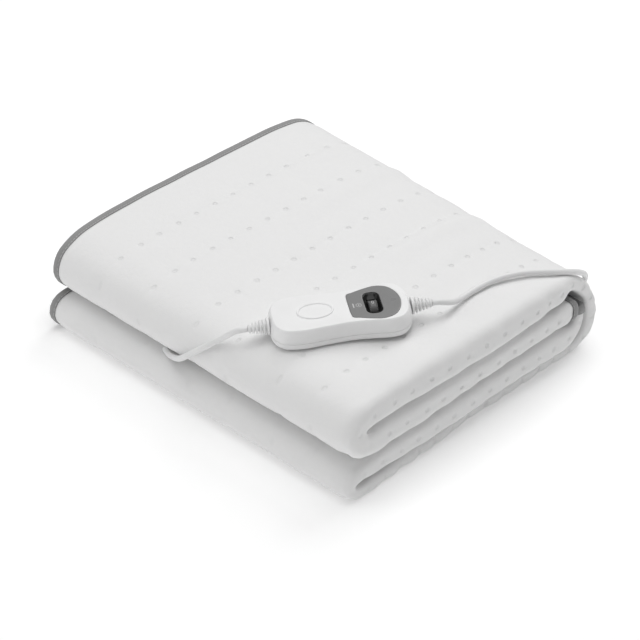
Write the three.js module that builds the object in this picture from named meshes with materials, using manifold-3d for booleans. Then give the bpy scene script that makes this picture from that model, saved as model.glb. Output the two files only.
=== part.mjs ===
// An electric underblanket, folded for the shelf, with its hand controller lying on top.
// Millimetres, +Z up. The origin is in the middle of the footprint, on the surface it lies on.
// +X runs along the rolls, from the bound edges to the halving fold. +Y runs away from the rolls.
import * as THREE from 'three';
import * as BufferGeometryUtils from 'three/addons/utils/BufferGeometryUtils.js';
import Module from 'manifold-3d';

const wasm = await Module();
wasm.setup();

// Driving dimensions
const FOLDED_WIDTH = 400;
const DEPTH_IN_FRONT = 184.6;
const CLOTH = 6.5;
const PIECE_GAP = 0.3;
const BINDING_WIDTH = 9;
const DIMPLE_DEPTH = 1.6;
const DOT_ROWS = [67, 123, 191, 241, 304, 349];
const BETWEEN_ROWS = [38, 95, 157, 216, 272, 327];

const CORD_RADIUS = 2.9;
const CORD_SIDES = 8;

// The doubled cloth runs back and forth through these stations, from its upper cut end to its lower
// one. Depth y is counted from the front of the stack, z from the surface, and half is half the
// doubled cloth's height. The first three are at the bound edges, the next three at the halving fold.
// reach is how far the halving fold comes out there, steps how finely the stretch that follows is
// divided, and dots says whether its bond points are sunk into the face.
const STATION_COLUMNS = ['y0', 'z0', 'half0', 'y1', 'z1', 'half1', 'reach', 'steps', 'dots'];
const STATIONS = {
  'upper cut end': [328, 66, 8, 316, 56, 10.5, 396, 2, 0],
  'second layer rear': [300, 66, 8, 288, 57, 11.8, 397, 4, 0],
  'second layer middle': [200, 65, 8, 200, 57.3, 12.2, 398, 4, 0],
  'second layer front': [104, 59, 8, 104, 54.6, 14.4, 398, 2, 0],
  'into the upper roll': [58, 50, 8, 60, 54.4, 14.8, 398, 2, 0],
  'upper roll underside': [34, 47.6, 8, 34, 54.6, 14, 399, 2, 0],
  'upper roll turning up': [21.5, 51, 8, 20.6, 59, 13.8, 400, 2, 0],
  'upper roll front': [15.7, 62, 8, 15.8, 70.2, 13.4, 400, 2, 0],
  'upper roll turning back': [20, 75.5, 8, 20.6, 81.3, 13.8, 400, 2, 0],
  'upper roll top': [36, 85.2, 8, 34, 85.8, 14.8, 400, 2, 0],
  'top layer front': [60, 90.2, 8, 60, 86.6, 15.8, 400, 4, 1],
  'top layer shoulder': [108, 92.8, 8, 108, 86.9, 16, 400, 6, 1],
  'top layer middle': [180, 93.3, 8, 180, 86.9, 16.1, 400, 6, 1],
  'top layer rear': [252, 93, 8, 252, 86.8, 15.8, 399, 4, 1],
  'top layer crest': [308, 92, 8, 286, 86.4, 13, 396, 2, 0],
  'wrap top': [337, 87.5, 7.8, 306, 86.8, 9, 393, 2, 0],
  'wrap turning down': [353, 77.5, 7.4, 322, 79.5, 7.2, 391, 2, 0],
  'wrap back': [361.5, 62, 7.2, 335.5, 65.5, 6.8, 391, 2, 0],
  'wrap middle': [363, 44, 7.2, 344, 49.5, 6.7, 391, 2, 0],
  'wrap lower': [360, 27, 7.2, 346, 33, 6.6, 391, 2, 0],
  'wrap turning under': [350, 13.5, 7.6, 341, 17, 6.6, 390, 2, 0],
  'bottom layer back': [332, 8, 8, 325, 8.2, 6.5, 389, 2, 0],
  'bottom layer rear': [296, 7.7, 8, 296, 6.2, 6.5, 388, 4, 0],
  'bottom layer middle': [200, 7.7, 8, 200, 6.2, 6.5, 389, 4, 0],
  'bottom layer front': [100, 7.7, 8, 100, 6.2, 6.5, 393, 3, 0],
  'into the lower roll': [48, 7.7, 8, 50, 6.2, 6.5, 396, 2, 0],
  'lower roll underside': [28, 7.8, 8, 30, 6.4, 6.5, 397, 1, 0],
  'lower roll start': [17.5, 8.2, 8, 19, 6.9, 6.6, 397, 2, 0],
  'lower roll turning up': [10.1, 11.3, 8, 12, 10, 7, 397, 2, 0],
  'lower roll front': [7, 18.6, 8, 9, 16.8, 7.7, 397, 2, 0],
  'lower roll turning back': [10.1, 25.9, 8, 12.2, 23.5, 8.4, 397, 2, 0],
  'lower roll top': [17.5, 28.9, 8, 20, 26.3, 9.2, 397, 1, 0],
  'out of the lower roll': [30, 29.4, 8, 33, 26.5, 10.6, 397, 2, 0],
  'third layer front': [60, 30.2, 8, 62, 26.3, 11.8, 397, 2, 0],
  'third layer shoulder': [104, 34, 8, 104, 26.6, 12.2, 397, 4, 0],
  'third layer middle': [200, 38.5, 8, 200, 29, 13.4, 397, 4, 0],
  'third layer rear': [296, 39, 8, 280, 30, 13.4, 397, 2, 0],
  'lower end curling up': [326, 38.5, 8, 308, 29.5, 11.5, 396, 2, 0],
  'lower end curl': [339.5, 44, 7.6, 321, 34.5, 8.4, 393, 2, 0],
  'lower end standing': [343.5, 55, 7, 327, 45, 6.6, 392, 1, 0],
  'lower cut end': [343.5, 64, 7, 326, 53, 6.5, 392, 0, 0],
};
const stations = Object.values(STATIONS).map((row) =>
  Object.fromEntries(STATION_COLUMNS.map((name, i) => [name, row[i]])));

// Materials
const white = (roughness) =>
  new THREE.MeshStandardMaterial({ color: 0xf1f1f0, roughness, metalness: 0 });
const fleece = white(0.95);
const bindingTape = new THREE.MeshStandardMaterial({ color: 0x8f9092, roughness: 0.9 });
const housingPlastic = white(0.35);
const leadPlastic = white(0.5);
const facePlastic = new THREE.MeshStandardMaterial({ color: 0x77787a, roughness: 0.4 });
const blackPlastic = new THREE.MeshStandardMaterial({ color: 0x141415, roughness: 0.25 });
const plated = new THREE.MeshStandardMaterial({ color: 0xc9c9cc, roughness: 0.3, metalness: 1 });

// Shared shape helpers

// A closed body through rings of equal length, each ring running the same way round the path.
function bodyThroughRings(rings, capContour) {
  const count = rings[0].length;
  const positions = rings.flat().flatMap((p) => [p.x, p.y, p.z]);
  const faces = [];
  for (let r = 0; r < rings.length - 1; r++) {
    for (let i = 0; i < count; i++) {
      const a = r * count + i;
      const b = r * count + ((i + 1) % count);
      faces.push(a, b, b + count, a, b + count, a + count);
    }
  }
  const last = (rings.length - 1) * count;
  const clockwise = THREE.ShapeUtils.isClockWise(capContour);
  for (const corners of THREE.ShapeUtils.triangulateShape(capContour, [])) {
    const [a, b, c] = clockwise ? corners.reverse() : corners;
    faces.push(c, b, a, last + a, last + b, last + c);
  }
  const geometry = new THREE.BufferGeometry();
  geometry.setAttribute('position', new THREE.Float32BufferAttribute(positions, 3));
  geometry.setIndex(faces);
  if (signedVolume(geometry) < 0) {
    faces.reverse();
    geometry.setIndex(faces);
  }
  return geometry;
}

function signedVolume(geometry) {
  const p = geometry.attributes.position;
  const corners = [0, 1, 2].map(() => new THREE.Vector3());
  let sum = 0;
  for (let i = 0; i < geometry.index.count; i += 3) {
    corners.forEach((corner, k) => corner.fromBufferAttribute(p, geometry.index.getX(i + k)));
    sum += corners[0].dot(corners[1].clone().cross(corners[2]));
  }
  return sum / 6;
}

function toManifold(source) {
  const bare = source.clone();
  bare.deleteAttribute('normal');
  bare.deleteAttribute('uv');
  const merged = BufferGeometryUtils.mergeVertices(bare, 1e-4);
  return new wasm.Manifold(new wasm.Mesh({
    numProp: 3,
    vertProperties: new Float32Array(merged.attributes.position.array),
    triVerts: new Uint32Array(merged.index.array),
  }));
}

function toGeometry(solid) {
  const mesh = solid.getMesh();
  const geometry = new THREE.BufferGeometry();
  geometry.setAttribute('position', new THREE.BufferAttribute(mesh.vertProperties, 3));
  geometry.setIndex(new THREE.BufferAttribute(mesh.triVerts, 1));
  return geometry;
}

const cut = (body, ...tools) =>
  toGeometry(tools.reduce((solid, tool) => solid.subtract(toManifold(tool)), toManifold(body)));

function named(name, geometry, material) {
  const mesh = new THREE.Mesh(geometry, material);
  mesh.name = name;
  return mesh;
}

// The folded cloth

// The path of the doubled cloth at a share of the width, 0 at the bound edges, 1 at the halving fold.
function pathAt(share) {
  const mix = (s, name) => THREE.MathUtils.lerp(s[`${name}0`], s[`${name}1`], share);
  const points = stations.map((s) => new THREE.Vector3(mix(s, 'half'), mix(s, 'y'), mix(s, 'z')));
  return new THREE.CatmullRomCurve3(points, false, 'centripetal');
}

const pathCache = new Map();
function cachedPath(share) {
  const key = share.toFixed(4);
  if (!pathCache.has(key)) pathCache.set(key, pathAt(share));
  return pathCache.get(key);
}

// Where the path is at a place counted in stations, with its normal and half height.
function placeOnPath(share, place) {
  const path = cachedPath(share);
  const last = stations.length - 1;
  const middle = path.getPoint(place / last);
  const before = path.getPoint(Math.max(place - 0.02, 0) / last);
  const after = path.getPoint(Math.min(place + 0.02, last) / last);
  const along = new THREE.Vector2(after.y - before.y, after.z - before.z).normalize();
  return { y: middle.y, z: middle.z, half: middle.x, normalY: -along.y, normalZ: along.x };
}

function reachAt(place) {
  const k = Math.min(Math.floor(place), stations.length - 2);
  const ease = THREE.MathUtils.smoothstep(place - k, 0, 1);
  return THREE.MathUtils.lerp(stations[k].reach, stations[k + 1].reach, ease);
}

// One point of the cloth: offset is counted from the middle of the doubled cloth, outwards.
// The surface it lies on presses it flat.
function clothPoint(share, place, x, offset) {
  const at = placeOnPath(share, place);
  const y = at.y + offset * at.normalY - DEPTH_IN_FRONT;
  const z = at.z + offset * at.normalZ;
  return new THREE.Vector3(x - FOLDED_WIDTH / 2, y, Math.max(z, 0));
}

// The doubled cloth's section as a list of marks, all the way round: out along the outer face,
// round the halving fold, back along the other face, and the same again inside.
const OUTER_TURN = 6;
const INNER_TURN = 4;
function sectionMarks(fromX) {
  const outerX = [fromX, ...DOT_ROWS, ...BETWEEN_ROWS].sort((a, b) => a - b);
  const innerX = [fromX, 123, 241, 327];
  const straight = (list, side, inner) => list.map((x) => ({ x, side, inner }));
  const turn = (count, inner) => Array.from({ length: count + 1 }, (_, i) => {
    const angle = inner ? Math.PI * (1 - i / count) : (Math.PI * i) / count;
    return { angle, inner };
  });
  return [
    ...straight(outerX, 1, false),
    ...turn(OUTER_TURN, false),
    ...straight([...outerX].reverse(), -1, false),
    ...straight(innerX, -1, true),
    ...turn(INNER_TURN, true),
    ...straight([...innerX].reverse(), 1, true),
  ];
}

function sectionRing(marks, place, sunk) {
  const fold = placeOnPath(1, place);
  const turnStart = reachAt(place) - fold.half;
  return marks.map((mark) => {
    if (mark.angle !== undefined) {
      const radius = fold.half - (mark.inner ? CLOTH : 0);
      const x = turnStart + radius * Math.sin(mark.angle);
      return clothPoint(1, place, x, radius * Math.cos(mark.angle));
    }
    const share = mark.x / turnStart;
    const half = placeOnPath(share, place).half;
    const dimple = sunk && !mark.inner && DOT_ROWS.includes(mark.x) ? DIMPLE_DEPTH : 0;
    return clothPoint(share, place, mark.x, mark.side * (half - (mark.inner ? CLOTH : 0) - dimple));
  });
}

// The section laid out flat, for closing the ends.
function sectionContour(marks) {
  const half = 12;
  const turnStart = 380;
  return marks.map((mark) => {
    const radius = half - (mark.inner ? CLOTH : 0);
    if (mark.angle === undefined) return new THREE.Vector2(mark.x, mark.side * radius);
    return new THREE.Vector2(turnStart + radius * Math.sin(mark.angle), radius * Math.cos(mark.angle));
  });
}

// Places along the path, counted in stations, between two of them.
function placesBetween(from, to) {
  const inner = stations.slice(0, -1).flatMap((s, k) =>
    Array.from({ length: s.steps }, (_, i) => ({ place: k + i / s.steps, dot: s.dots && i % 2 === 1 })));
  const kept = inner.filter(({ place }) => place > from + 0.1 && place < to - 0.1);
  return [{ place: from, dot: 0 }, ...kept, { place: to, dot: 0 }];
}

// Where the tapes over the two cut ends stop and the bare cloth starts. The spans are the lengths of
// the first and the last stretch between stations.
const LAST_PLACE = stations.length - 1;
const [FIRST_SPAN, LAST_SPAN] = [28, 9];
const UPPER_END_PLACES = {
  bindingEdge: BINDING_WIDTH / FIRST_SPAN,
  clothEdge: (BINDING_WIDTH + PIECE_GAP) / FIRST_SPAN,
};
const LOWER_END_PLACES = {
  bindingEdge: LAST_PLACE - BINDING_WIDTH / LAST_SPAN,
  clothEdge: LAST_PLACE - (BINDING_WIDTH + PIECE_GAP) / LAST_SPAN,
};

function blanketCloth() {
  const marks = sectionMarks(BINDING_WIDTH + PIECE_GAP);
  const places = placesBetween(UPPER_END_PLACES.clothEdge, LOWER_END_PLACES.clothEdge);
  const rings = places.map(({ place, dot }) => sectionRing(marks, place, dot));
  return bodyThroughRings(rings, sectionContour(marks));
}

// The tape sewn over a cut end of the doubled cloth.
function endBinding(from, to) {
  const marks = sectionMarks(BINDING_WIDTH + PIECE_GAP);
  const rings = [from, to].map((place) => sectionRing(marks, place, false));
  return bodyThroughRings(rings, sectionContour(marks));
}

// The tape sewn over a long edge of the cloth, on the outer or the inner layer of the doubled cloth.
function edgeBinding(side) {
  const places = placesBetween(0, LAST_PLACE);
  const rings = places.map(({ place }) => {
    const { half } = placeOnPath(0, place);
    const [near, far] = [half, half - CLOTH].map((offset) => side * offset);
    return [[0, near], [BINDING_WIDTH, near], [BINDING_WIDTH, far], [0, far]].map(
      ([x, offset]) => clothPoint(x / FOLDED_WIDTH, place, x, offset));
  });
  const contour = [[0, 1], [1, 1], [1, 0], [0, 0]].map(([x, y]) => new THREE.Vector2(x, y));
  return bodyThroughRings(rings, contour);
}

// The hand controller, in its own frame: X along it to its head, Y across, Z up from its base

const CONTROLLER_PLACE = new THREE.Vector3(300.5 - FOLDED_WIDTH / 2, 92 - DEPTH_IN_FRONT, 103.9);
const CONTROLLER_TURN = 55;
const CONTROLLER_PITCH = 2.5;
const CONTROLLER_ROLL = 2.3;
const HOUSING_HEIGHT = 21;
const PARTING_HEIGHT = 7.5;
const ABOVE_HOUSING = HOUSING_HEIGHT + 5;
const TAIL_END = -64;
const HEAD_END = 65;
const HOUSING_OUTLINE = [[TAIL_END, 0], [-62.6, 15], [-55, 24.8], [-38, 28.6], [-14, 27.2], [8, 26.2],
  [28, 28], [43, 29.6], [55, 26.8], [62.4, 17], [HEAD_END, 0]];
const PLATE_OUTLINE = [[8.5, 0], [8.5, 10], [9.8, 16.8], [15, 18.6], [26, 22.2], [37, 24], [47, 20.5],
  [53.5, 11], [55.5, 0]];
const PLATE_THICK = 1.2;
const PLATE_PROUD = 0.2;
const WELL = { along: 30.4, length: 14.8, across: 31, floor: 8.8, top: 20.7 };
const DIAL = { radius: 8.6, width: 8, centre: 13, stub: 1.6, stubLength: 1.6, clearance: 0.35 };
const AXIS_HEIGHT = 11.5;

// A smooth closed outline through half-outline points, mirrored across the long axis.
function mirroredOutline(half, samples) {
  const back = half.slice(1, -1).reverse().map(([x, y]) => [x, -y]);
  const points = [...half, ...back].map(([x, y]) => new THREE.Vector3(x, y, 0));
  const curve = new THREE.CatmullRomCurve3(points, true, 'centripetal');
  return curve.getPoints(samples).slice(0, samples).map((p) => new THREE.Vector2(p.x, p.y));
}

// The outline drawn in by a distance along its own normals.
function insetOutline(outline, distance) {
  return outline.map((p, i) => {
    const before = outline[(i + outline.length - 1) % outline.length];
    const after = outline[(i + 1) % outline.length];
    const along = after.clone().sub(before).normalize();
    return new THREE.Vector2(p.x - distance * -along.y, p.y - distance * along.x);
  });
}

// A body of the outline's shape, with its inset given at each height.
function stackedOutline(outline, levels) {
  const inward = THREE.ShapeUtils.isClockWise(outline) ? 1 : -1;
  const rings = levels.map(([height, inset]) =>
    insetOutline(outline, inset * inward).map((p) => new THREE.Vector3(p.x, p.y, height)));
  return bodyThroughRings(rings, outline);
}

function roundedSlot(length, across, corner) {
  const [a, b] = [length / 2, across / 2];
  const arcs = [[a - corner, b - corner, 0], [corner - a, b - corner, 90],
    [corner - a, corner - b, 180], [a - corner, corner - b, 270]];
  return arcs.flatMap(([x, y, start]) => [0, 30, 60, 90].map((step) => {
    const angle = THREE.MathUtils.degToRad(start + step);
    return new THREE.Vector2(WELL.along + x + corner * Math.cos(angle), y + corner * Math.sin(angle));
  }));
}

const housingOutline = mirroredOutline(HOUSING_OUTLINE, 44);
const plateOutline = mirroredOutline(PLATE_OUTLINE, 36);
const wellOutline = roundedSlot(WELL.length, WELL.across, 6);

function wheelRoom() {
  const side = DIAL.width + 2 * DIAL.clearance;
  const across = 2 * (DIAL.radius + 2 * DIAL.clearance);
  const low = DIAL.centre - DIAL.radius - 2 * DIAL.clearance;
  const room = new THREE.BoxGeometry(side, across, ABOVE_HOUSING - low);
  return room.translate(WELL.along, 0, (ABOVE_HOUSING + low) / 2);
}

function lowerHousing() {
  const levels = [[0, 4], [0.8, 2], [2.4, 0.7], [4.5, 0.1], [PARTING_HEIGHT, 0]];
  return cut(stackedOutline(housingOutline, levels), wheelRoom());
}

function upperHousing() {
  const levels = [[PARTING_HEIGHT + PIECE_GAP, 0], [14, 0.2], [17.6, 0.8], [19.7, 2],
    [20.6, 3.4], [HOUSING_HEIGHT, 5]];
  const pocketFloor = HOUSING_HEIGHT + PLATE_PROUD - PLATE_THICK - PIECE_GAP;
  const pocket = stackedOutline(plateOutline,
    [[pocketFloor, -PIECE_GAP], [ABOVE_HOUSING, -PIECE_GAP]]);
  const wellPocket = stackedOutline(wellOutline,
    [[WELL.floor - PIECE_GAP, -PIECE_GAP], [ABOVE_HOUSING, -PIECE_GAP]]);
  return cut(stackedOutline(housingOutline, levels), pocket, wellPocket, wheelRoom());
}

function facePlate() {
  const top = HOUSING_HEIGHT + PLATE_PROUD;
  const plate = stackedOutline(plateOutline, [[top - PLATE_THICK, 0], [top - 0.3, 0], [top, 0.3]]);
  const window = stackedOutline(wellOutline, [[0, -PIECE_GAP], [ABOVE_HOUSING, -PIECE_GAP]]);
  return cut(plate, window);
}

// The dark insert under the window: a shallow dish with a slot for the wheel and its two bearings.
function dialWell() {
  const block = stackedOutline(wellOutline, [[WELL.floor, 0], [WELL.top, 0]]);
  const dish = new THREE.SphereGeometry(1, 24, 12);
  dish.scale(9, 17.5, 3.6).translate(WELL.along, 0, WELL.top + 0.6);
  const bearings = new THREE.CylinderGeometry(DIAL.stub + DIAL.clearance, DIAL.stub + DIAL.clearance,
    DIAL.width + 2 * DIAL.stubLength + 1.2, 16);
  bearings.rotateZ(Math.PI / 2).translate(WELL.along, 0, DIAL.centre);
  return cut(block, dish, wheelRoom(), bearings);
}

// The thumb wheel: a drum on two stubs, with finger ribs on its rim.
function dialWheel() {
  const ribs = 18;
  const rim = Array.from({ length: ribs }, (_, i) => {
    const step = (2 * Math.PI) / ribs;
    return [[0.05, 0.45], [0.3, 0], [0.7, 0], [0.95, 0.45]].map(([share, sunk]) => {
      const angle = (i + share) * step;
      const radius = DIAL.radius - sunk;
      return new THREE.Vector3(0, radius * Math.cos(angle), radius * Math.sin(angle));
    });
  }).flat();
  const half = DIAL.width / 2;
  const ring = (x, drawnIn) => rim.map((p) => {
    const scale = 1 - drawnIn / DIAL.radius;
    return new THREE.Vector3(WELL.along + x, p.y * scale, DIAL.centre + p.z * scale);
  });
  const chamfer = 0.8;
  const rings = [ring(-half, chamfer), ring(chamfer - half, 0), ring(half - chamfer, 0), ring(half, chamfer)];
  const drum = bodyThroughRings(rings, rim.map((p) => new THREE.Vector2(p.y, p.z)));
  const stubs = new THREE.CylinderGeometry(DIAL.stub, DIAL.stub, DIAL.width + 2 * DIAL.stubLength, 14);
  stubs.rotateZ(Math.PI / 2).translate(WELL.along, 0, DIAL.centre);
  return toGeometry(toManifold(drum).add(toManifold(stubs)));
}

// A raised oval rim for the thumb, on the flat of the housing.
function thumbRest() {
  const oval = Array.from({ length: 28 }, (_, i) => {
    const angle = (2 * Math.PI * i) / 28;
    return new THREE.Vector2(-22 + 17 * Math.cos(angle), 12 * Math.sin(angle));
  });
  const base = HOUSING_HEIGHT + PIECE_GAP;
  const rim = stackedOutline(oval, [[base, 0], [base + 0.5, 0.2], [base + 0.8, 1]]);
  const inside = stackedOutline(oval, [[base - 1, 2.6], [base + 2, 2.6]]);
  return cut(rim, inside);
}

// A ribbed strain relief from the housing's end wall out to the cord, along +X or -X.
const RELIEF_LENGTH = 19;
function strainRelief(startX, direction) {
  const ribCount = 5;
  const [rootRadius, tipRadius] = [7.2, 4.3];
  const flange = rootRadius + 0.8;
  const profile = [new THREE.Vector2(0, 0), new THREE.Vector2(flange, 0), new THREE.Vector2(flange, 2)];
  const pitch = (RELIEF_LENGTH - 3) / ribCount;
  for (let i = 0; i < ribCount; i++) {
    const at = 2.4 + i * pitch;
    const radius = THREE.MathUtils.lerp(rootRadius, tipRadius, i / (ribCount - 1));
    profile.push(new THREE.Vector2(radius - 1.2, at));
    profile.push(new THREE.Vector2(radius - 1.2, at + 0.38 * pitch));
    profile.push(new THREE.Vector2(radius, at + 0.45 * pitch));
    profile.push(new THREE.Vector2(radius - 0.2, at + 0.95 * pitch));
  }
  profile.push(new THREE.Vector2(CORD_RADIUS + 0.5, RELIEF_LENGTH), new THREE.Vector2(0, RELIEF_LENGTH));
  const relief = new THREE.LatheGeometry(profile, 12);
  return relief.rotateZ(direction > 0 ? -Math.PI / 2 : Math.PI / 2).translate(startX, 0, AXIS_HEIGHT);
}

// Cords, coil and plug

// Route points: x from the bound edges, y from the front of the stack, z from the surface.
// The first runs from the controller over the upper roll into the crease below it.
const CONTROLLER_LEAD_ROUTE = [[252.63, 22.83, 111.73], [250.56, 19.88, 111.57], [247, 16.4, 110.4],
  [242.2, 13.8, 106.8], [237, 12.4, 102], [231.6, 11.2, 97], [225.4, 9, 91.6], [218.6, 6.2, 85.4],
  [211.4, 3.6, 79.2], [204, 1.8, 72.6], [196.6, 1.2, 66], [189.4, 1.8, 59.6], [182.6, 3.8, 54],
  [176, 6.4, 49.4], [169.4, 8.8, 45.8], [162.8, 11, 43.2], [157, 13.2, 41.4], [151.6, 15.6, 40.2],
  [146.8, 18, 39.8]];
// This one runs over the back of the stack, down behind it and along the surface to the coil.
const MAINS_LEAD_ROUTE = [[349.13, 160.64, 119.07], [351.19, 163.59, 119.23], [353.6, 168, 118.4],
  [355, 174.4, 115.6], [354.8, 182, 112.2], [353.4, 191, 109.2], [352, 201, 107.5], [351, 213, 106.9],
  [351.2, 226, 106.8], [353, 240, 106.8], [357.6, 256, 106.6], [364.4, 270.6, 105.9],
  [371.6, 282.6, 104.6], [378.4, 294, 102.6], [384, 305, 100], [387, 316, 96], [386.4, 327.5, 89.6],
  [382.6, 338.4, 80.6], [376.4, 347.6, 68.8], [368, 354, 54.8], [357.4, 358.4, 40.4],
  [344.4, 362, 27], [329, 366, 15.6], [311, 369, 7.6], [290, 370.4, 4], [266, 371.2, 3.3],
  [234, 372, 3.3], [202, 372.8, 3.3], [170, 373.4, 3.3], [138, 374, 3.3], [106, 374.4, 3.3],
  [76, 374.2, 3.3], [50, 373, 3.3], [30, 370.6, 3.3], [13, 366.2, 3.3], [-0.6, 358.4, 3.3],
  [-8, 346.6, 3.3], [-10.3, 332, 3.3], [-10.3, 316, 3.3], [-10.3, 300, 3.3], [-10.3, 284.5, 3.3]];
const PLUG_LEAD_ROUTE = [[-10.3, 239.5, 10], [-10.8, 232, 9.5], [-12.4, 222, 8.6], [-15.2, 211.4, 7.8],
  [-17.8, 201, 7.4], [-19, 192.6, 7.4], [-19, 187, 7.4]];
const COIL = { x: -48, y: 262, middleRadius: 29, across: 23.4, height: 11.8, bevel: 2.6, sides: 30 };
const TIE = { wall: 0.8, width: 9 };
const PLUG = { x: -19, y: 186.7, axis: 7.4, length: 37.5, pinRadius: 2, pinLength: 19, pinSpacing: 18.6 };

function inRow([x, y, z]) {
  return new THREE.Vector3(x - FOLDED_WIDTH / 2, y - DEPTH_IN_FRONT, z);
}

function cordTube(route, steps) {
  const section = new THREE.Shape();
  for (let i = 0; i < CORD_SIDES; i++) {
    const angle = (2 * Math.PI * i) / CORD_SIDES;
    const [x, y] = [CORD_RADIUS * Math.cos(angle), CORD_RADIUS * Math.sin(angle)];
    if (i === 0) section.moveTo(x, y);
    else section.lineTo(x, y);
  }
  const extrudePath = new THREE.CatmullRomCurve3(route.map(inRow), false, 'centripetal');
  return new THREE.ExtrudeGeometry(section, { steps, extrudePath, bevelEnabled: false });
}

// The coil lies on the tie that holds it.
function coilRing() {
  const { x, y, middleRadius, across, height, bevel } = COIL;
  const [inner, outer] = [middleRadius - across / 2, middleRadius + across / 2];
  const base = TIE.wall + PIECE_GAP;
  const profile = [[inner + bevel, base], [outer - bevel, base], [outer, base + bevel],
    [outer, base + height - bevel], [outer - bevel, base + height], [inner + bevel, base + height],
    [inner, base + height - bevel], [inner, base + bevel], [inner + bevel, base]];
  const ring = new THREE.LatheGeometry(profile.map(([r, h]) => new THREE.Vector2(r, h)), COIL.sides);
  const placed = inRow([x, y, 0]);
  return ring.rotateX(Math.PI / 2).translate(placed.x, placed.y, placed.z);
}

// A band right round the coil's section, on the side away from the folds.
function coilTie() {
  const { x, y, middleRadius, across, height, sides } = COIL;
  const { wall, width } = TIE;
  const nearest = (middleRadius - across / 2) * Math.cos(Math.PI / sides);
  const inside = Math.sqrt(nearest ** 2 - (width / 2) ** 2) - PIECE_GAP;
  const outside = middleRadius + across / 2 + PIECE_GAP;
  const insideHeight = height + 2 * PIECE_GAP;
  const band = new THREE.BoxGeometry(width, outside - inside + 2 * wall, insideHeight + 2 * wall);
  const hole = new THREE.BoxGeometry(width + 2, outside - inside, insideHeight);
  const placed = inRow([x, y + (inside + outside) / 2, wall + insideHeight / 2]);
  return cut(band, hole).translate(placed.x, placed.y, placed.z);
}

// The flat two-pin plug in its own frame: the cord comes in at the origin and the pins point to -X.
const PLUG_OUTLINE = [[0, 3.6], [-6, 4.6], [-14, 8], [-22, 12.4], [-35, 12.8], [-PLUG.length, 11.4]];
function plugBody() {
  const half = PLUG_OUTLINE.map(([x, y]) => new THREE.Vector2(x, y));
  const outline = [...half, ...half.map((p) => new THREE.Vector2(p.x, -p.y)).reverse()];
  const levels = [[-6.9, 0.84], [-5.2, 0.97], [0, 1], [5.2, 0.97], [6.9, 0.84]];
  const rings = levels.map(([height, narrow]) => outline.map((p) => {
    const thickness = THREE.MathUtils.lerp(0.6, 1, THREE.MathUtils.smoothstep(-p.x, 0, 20));
    return new THREE.Vector3(p.x, p.y * narrow, height * thickness);
  }));
  return bodyThroughRings(rings, outline);
}

function plugPin(side) {
  const { pinRadius, pinLength, pinSpacing, length } = PLUG;
  const profile = [[0, 0], [pinRadius, 0], [pinRadius, pinLength - 1.5], [pinRadius - 0.8, pinLength],
    [0, pinLength]];
  const pin = new THREE.LatheGeometry(profile.map(([r, h]) => new THREE.Vector2(r, h)), 12);
  return pin.rotateZ(Math.PI / 2).translate(-length - PIECE_GAP, (side * pinSpacing) / 2, 0);
}

// Assembly

const underblanket = new THREE.Group();
underblanket.add(
  named('blanket_cloth', blanketCloth(), fleece),
  named('binding_outer_edge', edgeBinding(1), bindingTape),
  named('binding_inner_edge', edgeBinding(-1), bindingTape),
  named('binding_upper_end', endBinding(0, UPPER_END_PLACES.bindingEdge), bindingTape),
  named('binding_lower_end', endBinding(LOWER_END_PLACES.bindingEdge, LAST_PLACE), bindingTape),
);

const controller = new THREE.Group();
controller.add(
  named('housing_lower', lowerHousing(), housingPlastic),
  named('housing_upper', upperHousing(), housingPlastic),
  named('face_plate', facePlate(), facePlastic),
  named('dial_well', dialWell(), blackPlastic),
  named('dial', dialWheel(), blackPlastic),
  named('thumb_rest', thumbRest(), housingPlastic),
  named('relief_blanket_side', strainRelief(TAIL_END - PIECE_GAP, -1), leadPlastic),
  named('relief_mains_side', strainRelief(HEAD_END + PIECE_GAP, 1), leadPlastic),
);
const toRadians = THREE.MathUtils.degToRad;
controller.rotation.set(toRadians(CONTROLLER_ROLL), -toRadians(CONTROLLER_PITCH),
  toRadians(CONTROLLER_TURN), 'ZYX');
controller.position.copy(CONTROLLER_PLACE);
underblanket.add(controller);

const plug = new THREE.Group();
plug.add(
  named('plug_body', plugBody(), leadPlastic),
  named('plug_pin_left', plugPin(1), plated),
  named('plug_pin_right', plugPin(-1), plated),
);
plug.rotation.z = Math.PI / 2;
plug.position.copy(inRow([PLUG.x, PLUG.y, PLUG.axis]));
underblanket.add(plug);

underblanket.add(
  named('controller_lead', cordTube(CONTROLLER_LEAD_ROUTE, 24), leadPlastic),
  named('mains_lead', cordTube(MAINS_LEAD_ROUTE, 60), leadPlastic),
  named('mains_coil', coilRing(), leadPlastic),
  named('coil_tie', coilTie(), leadPlastic),
  named('plug_lead', cordTube(PLUG_LEAD_ROUTE, 8), leadPlastic),
);

export default underblanket;
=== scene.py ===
# %% [markdown]
# An electric underblanket, folded into a stack for the shelf, with its hand controller lying on top.
#
# The construction comes as a fixed frame: solids for the cloth, its bindings, the controller and the
# lead. This lesson dresses that frame. The cloth becomes a quilted fleece, the lead a smooth cable
# with real turns in its coil, and the controller gets rounded housings and printed marks.

# %% Load the frame
import math

import bmesh
import bpy
import numpy as np
from mathutils import Matrix, Vector, noise


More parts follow.
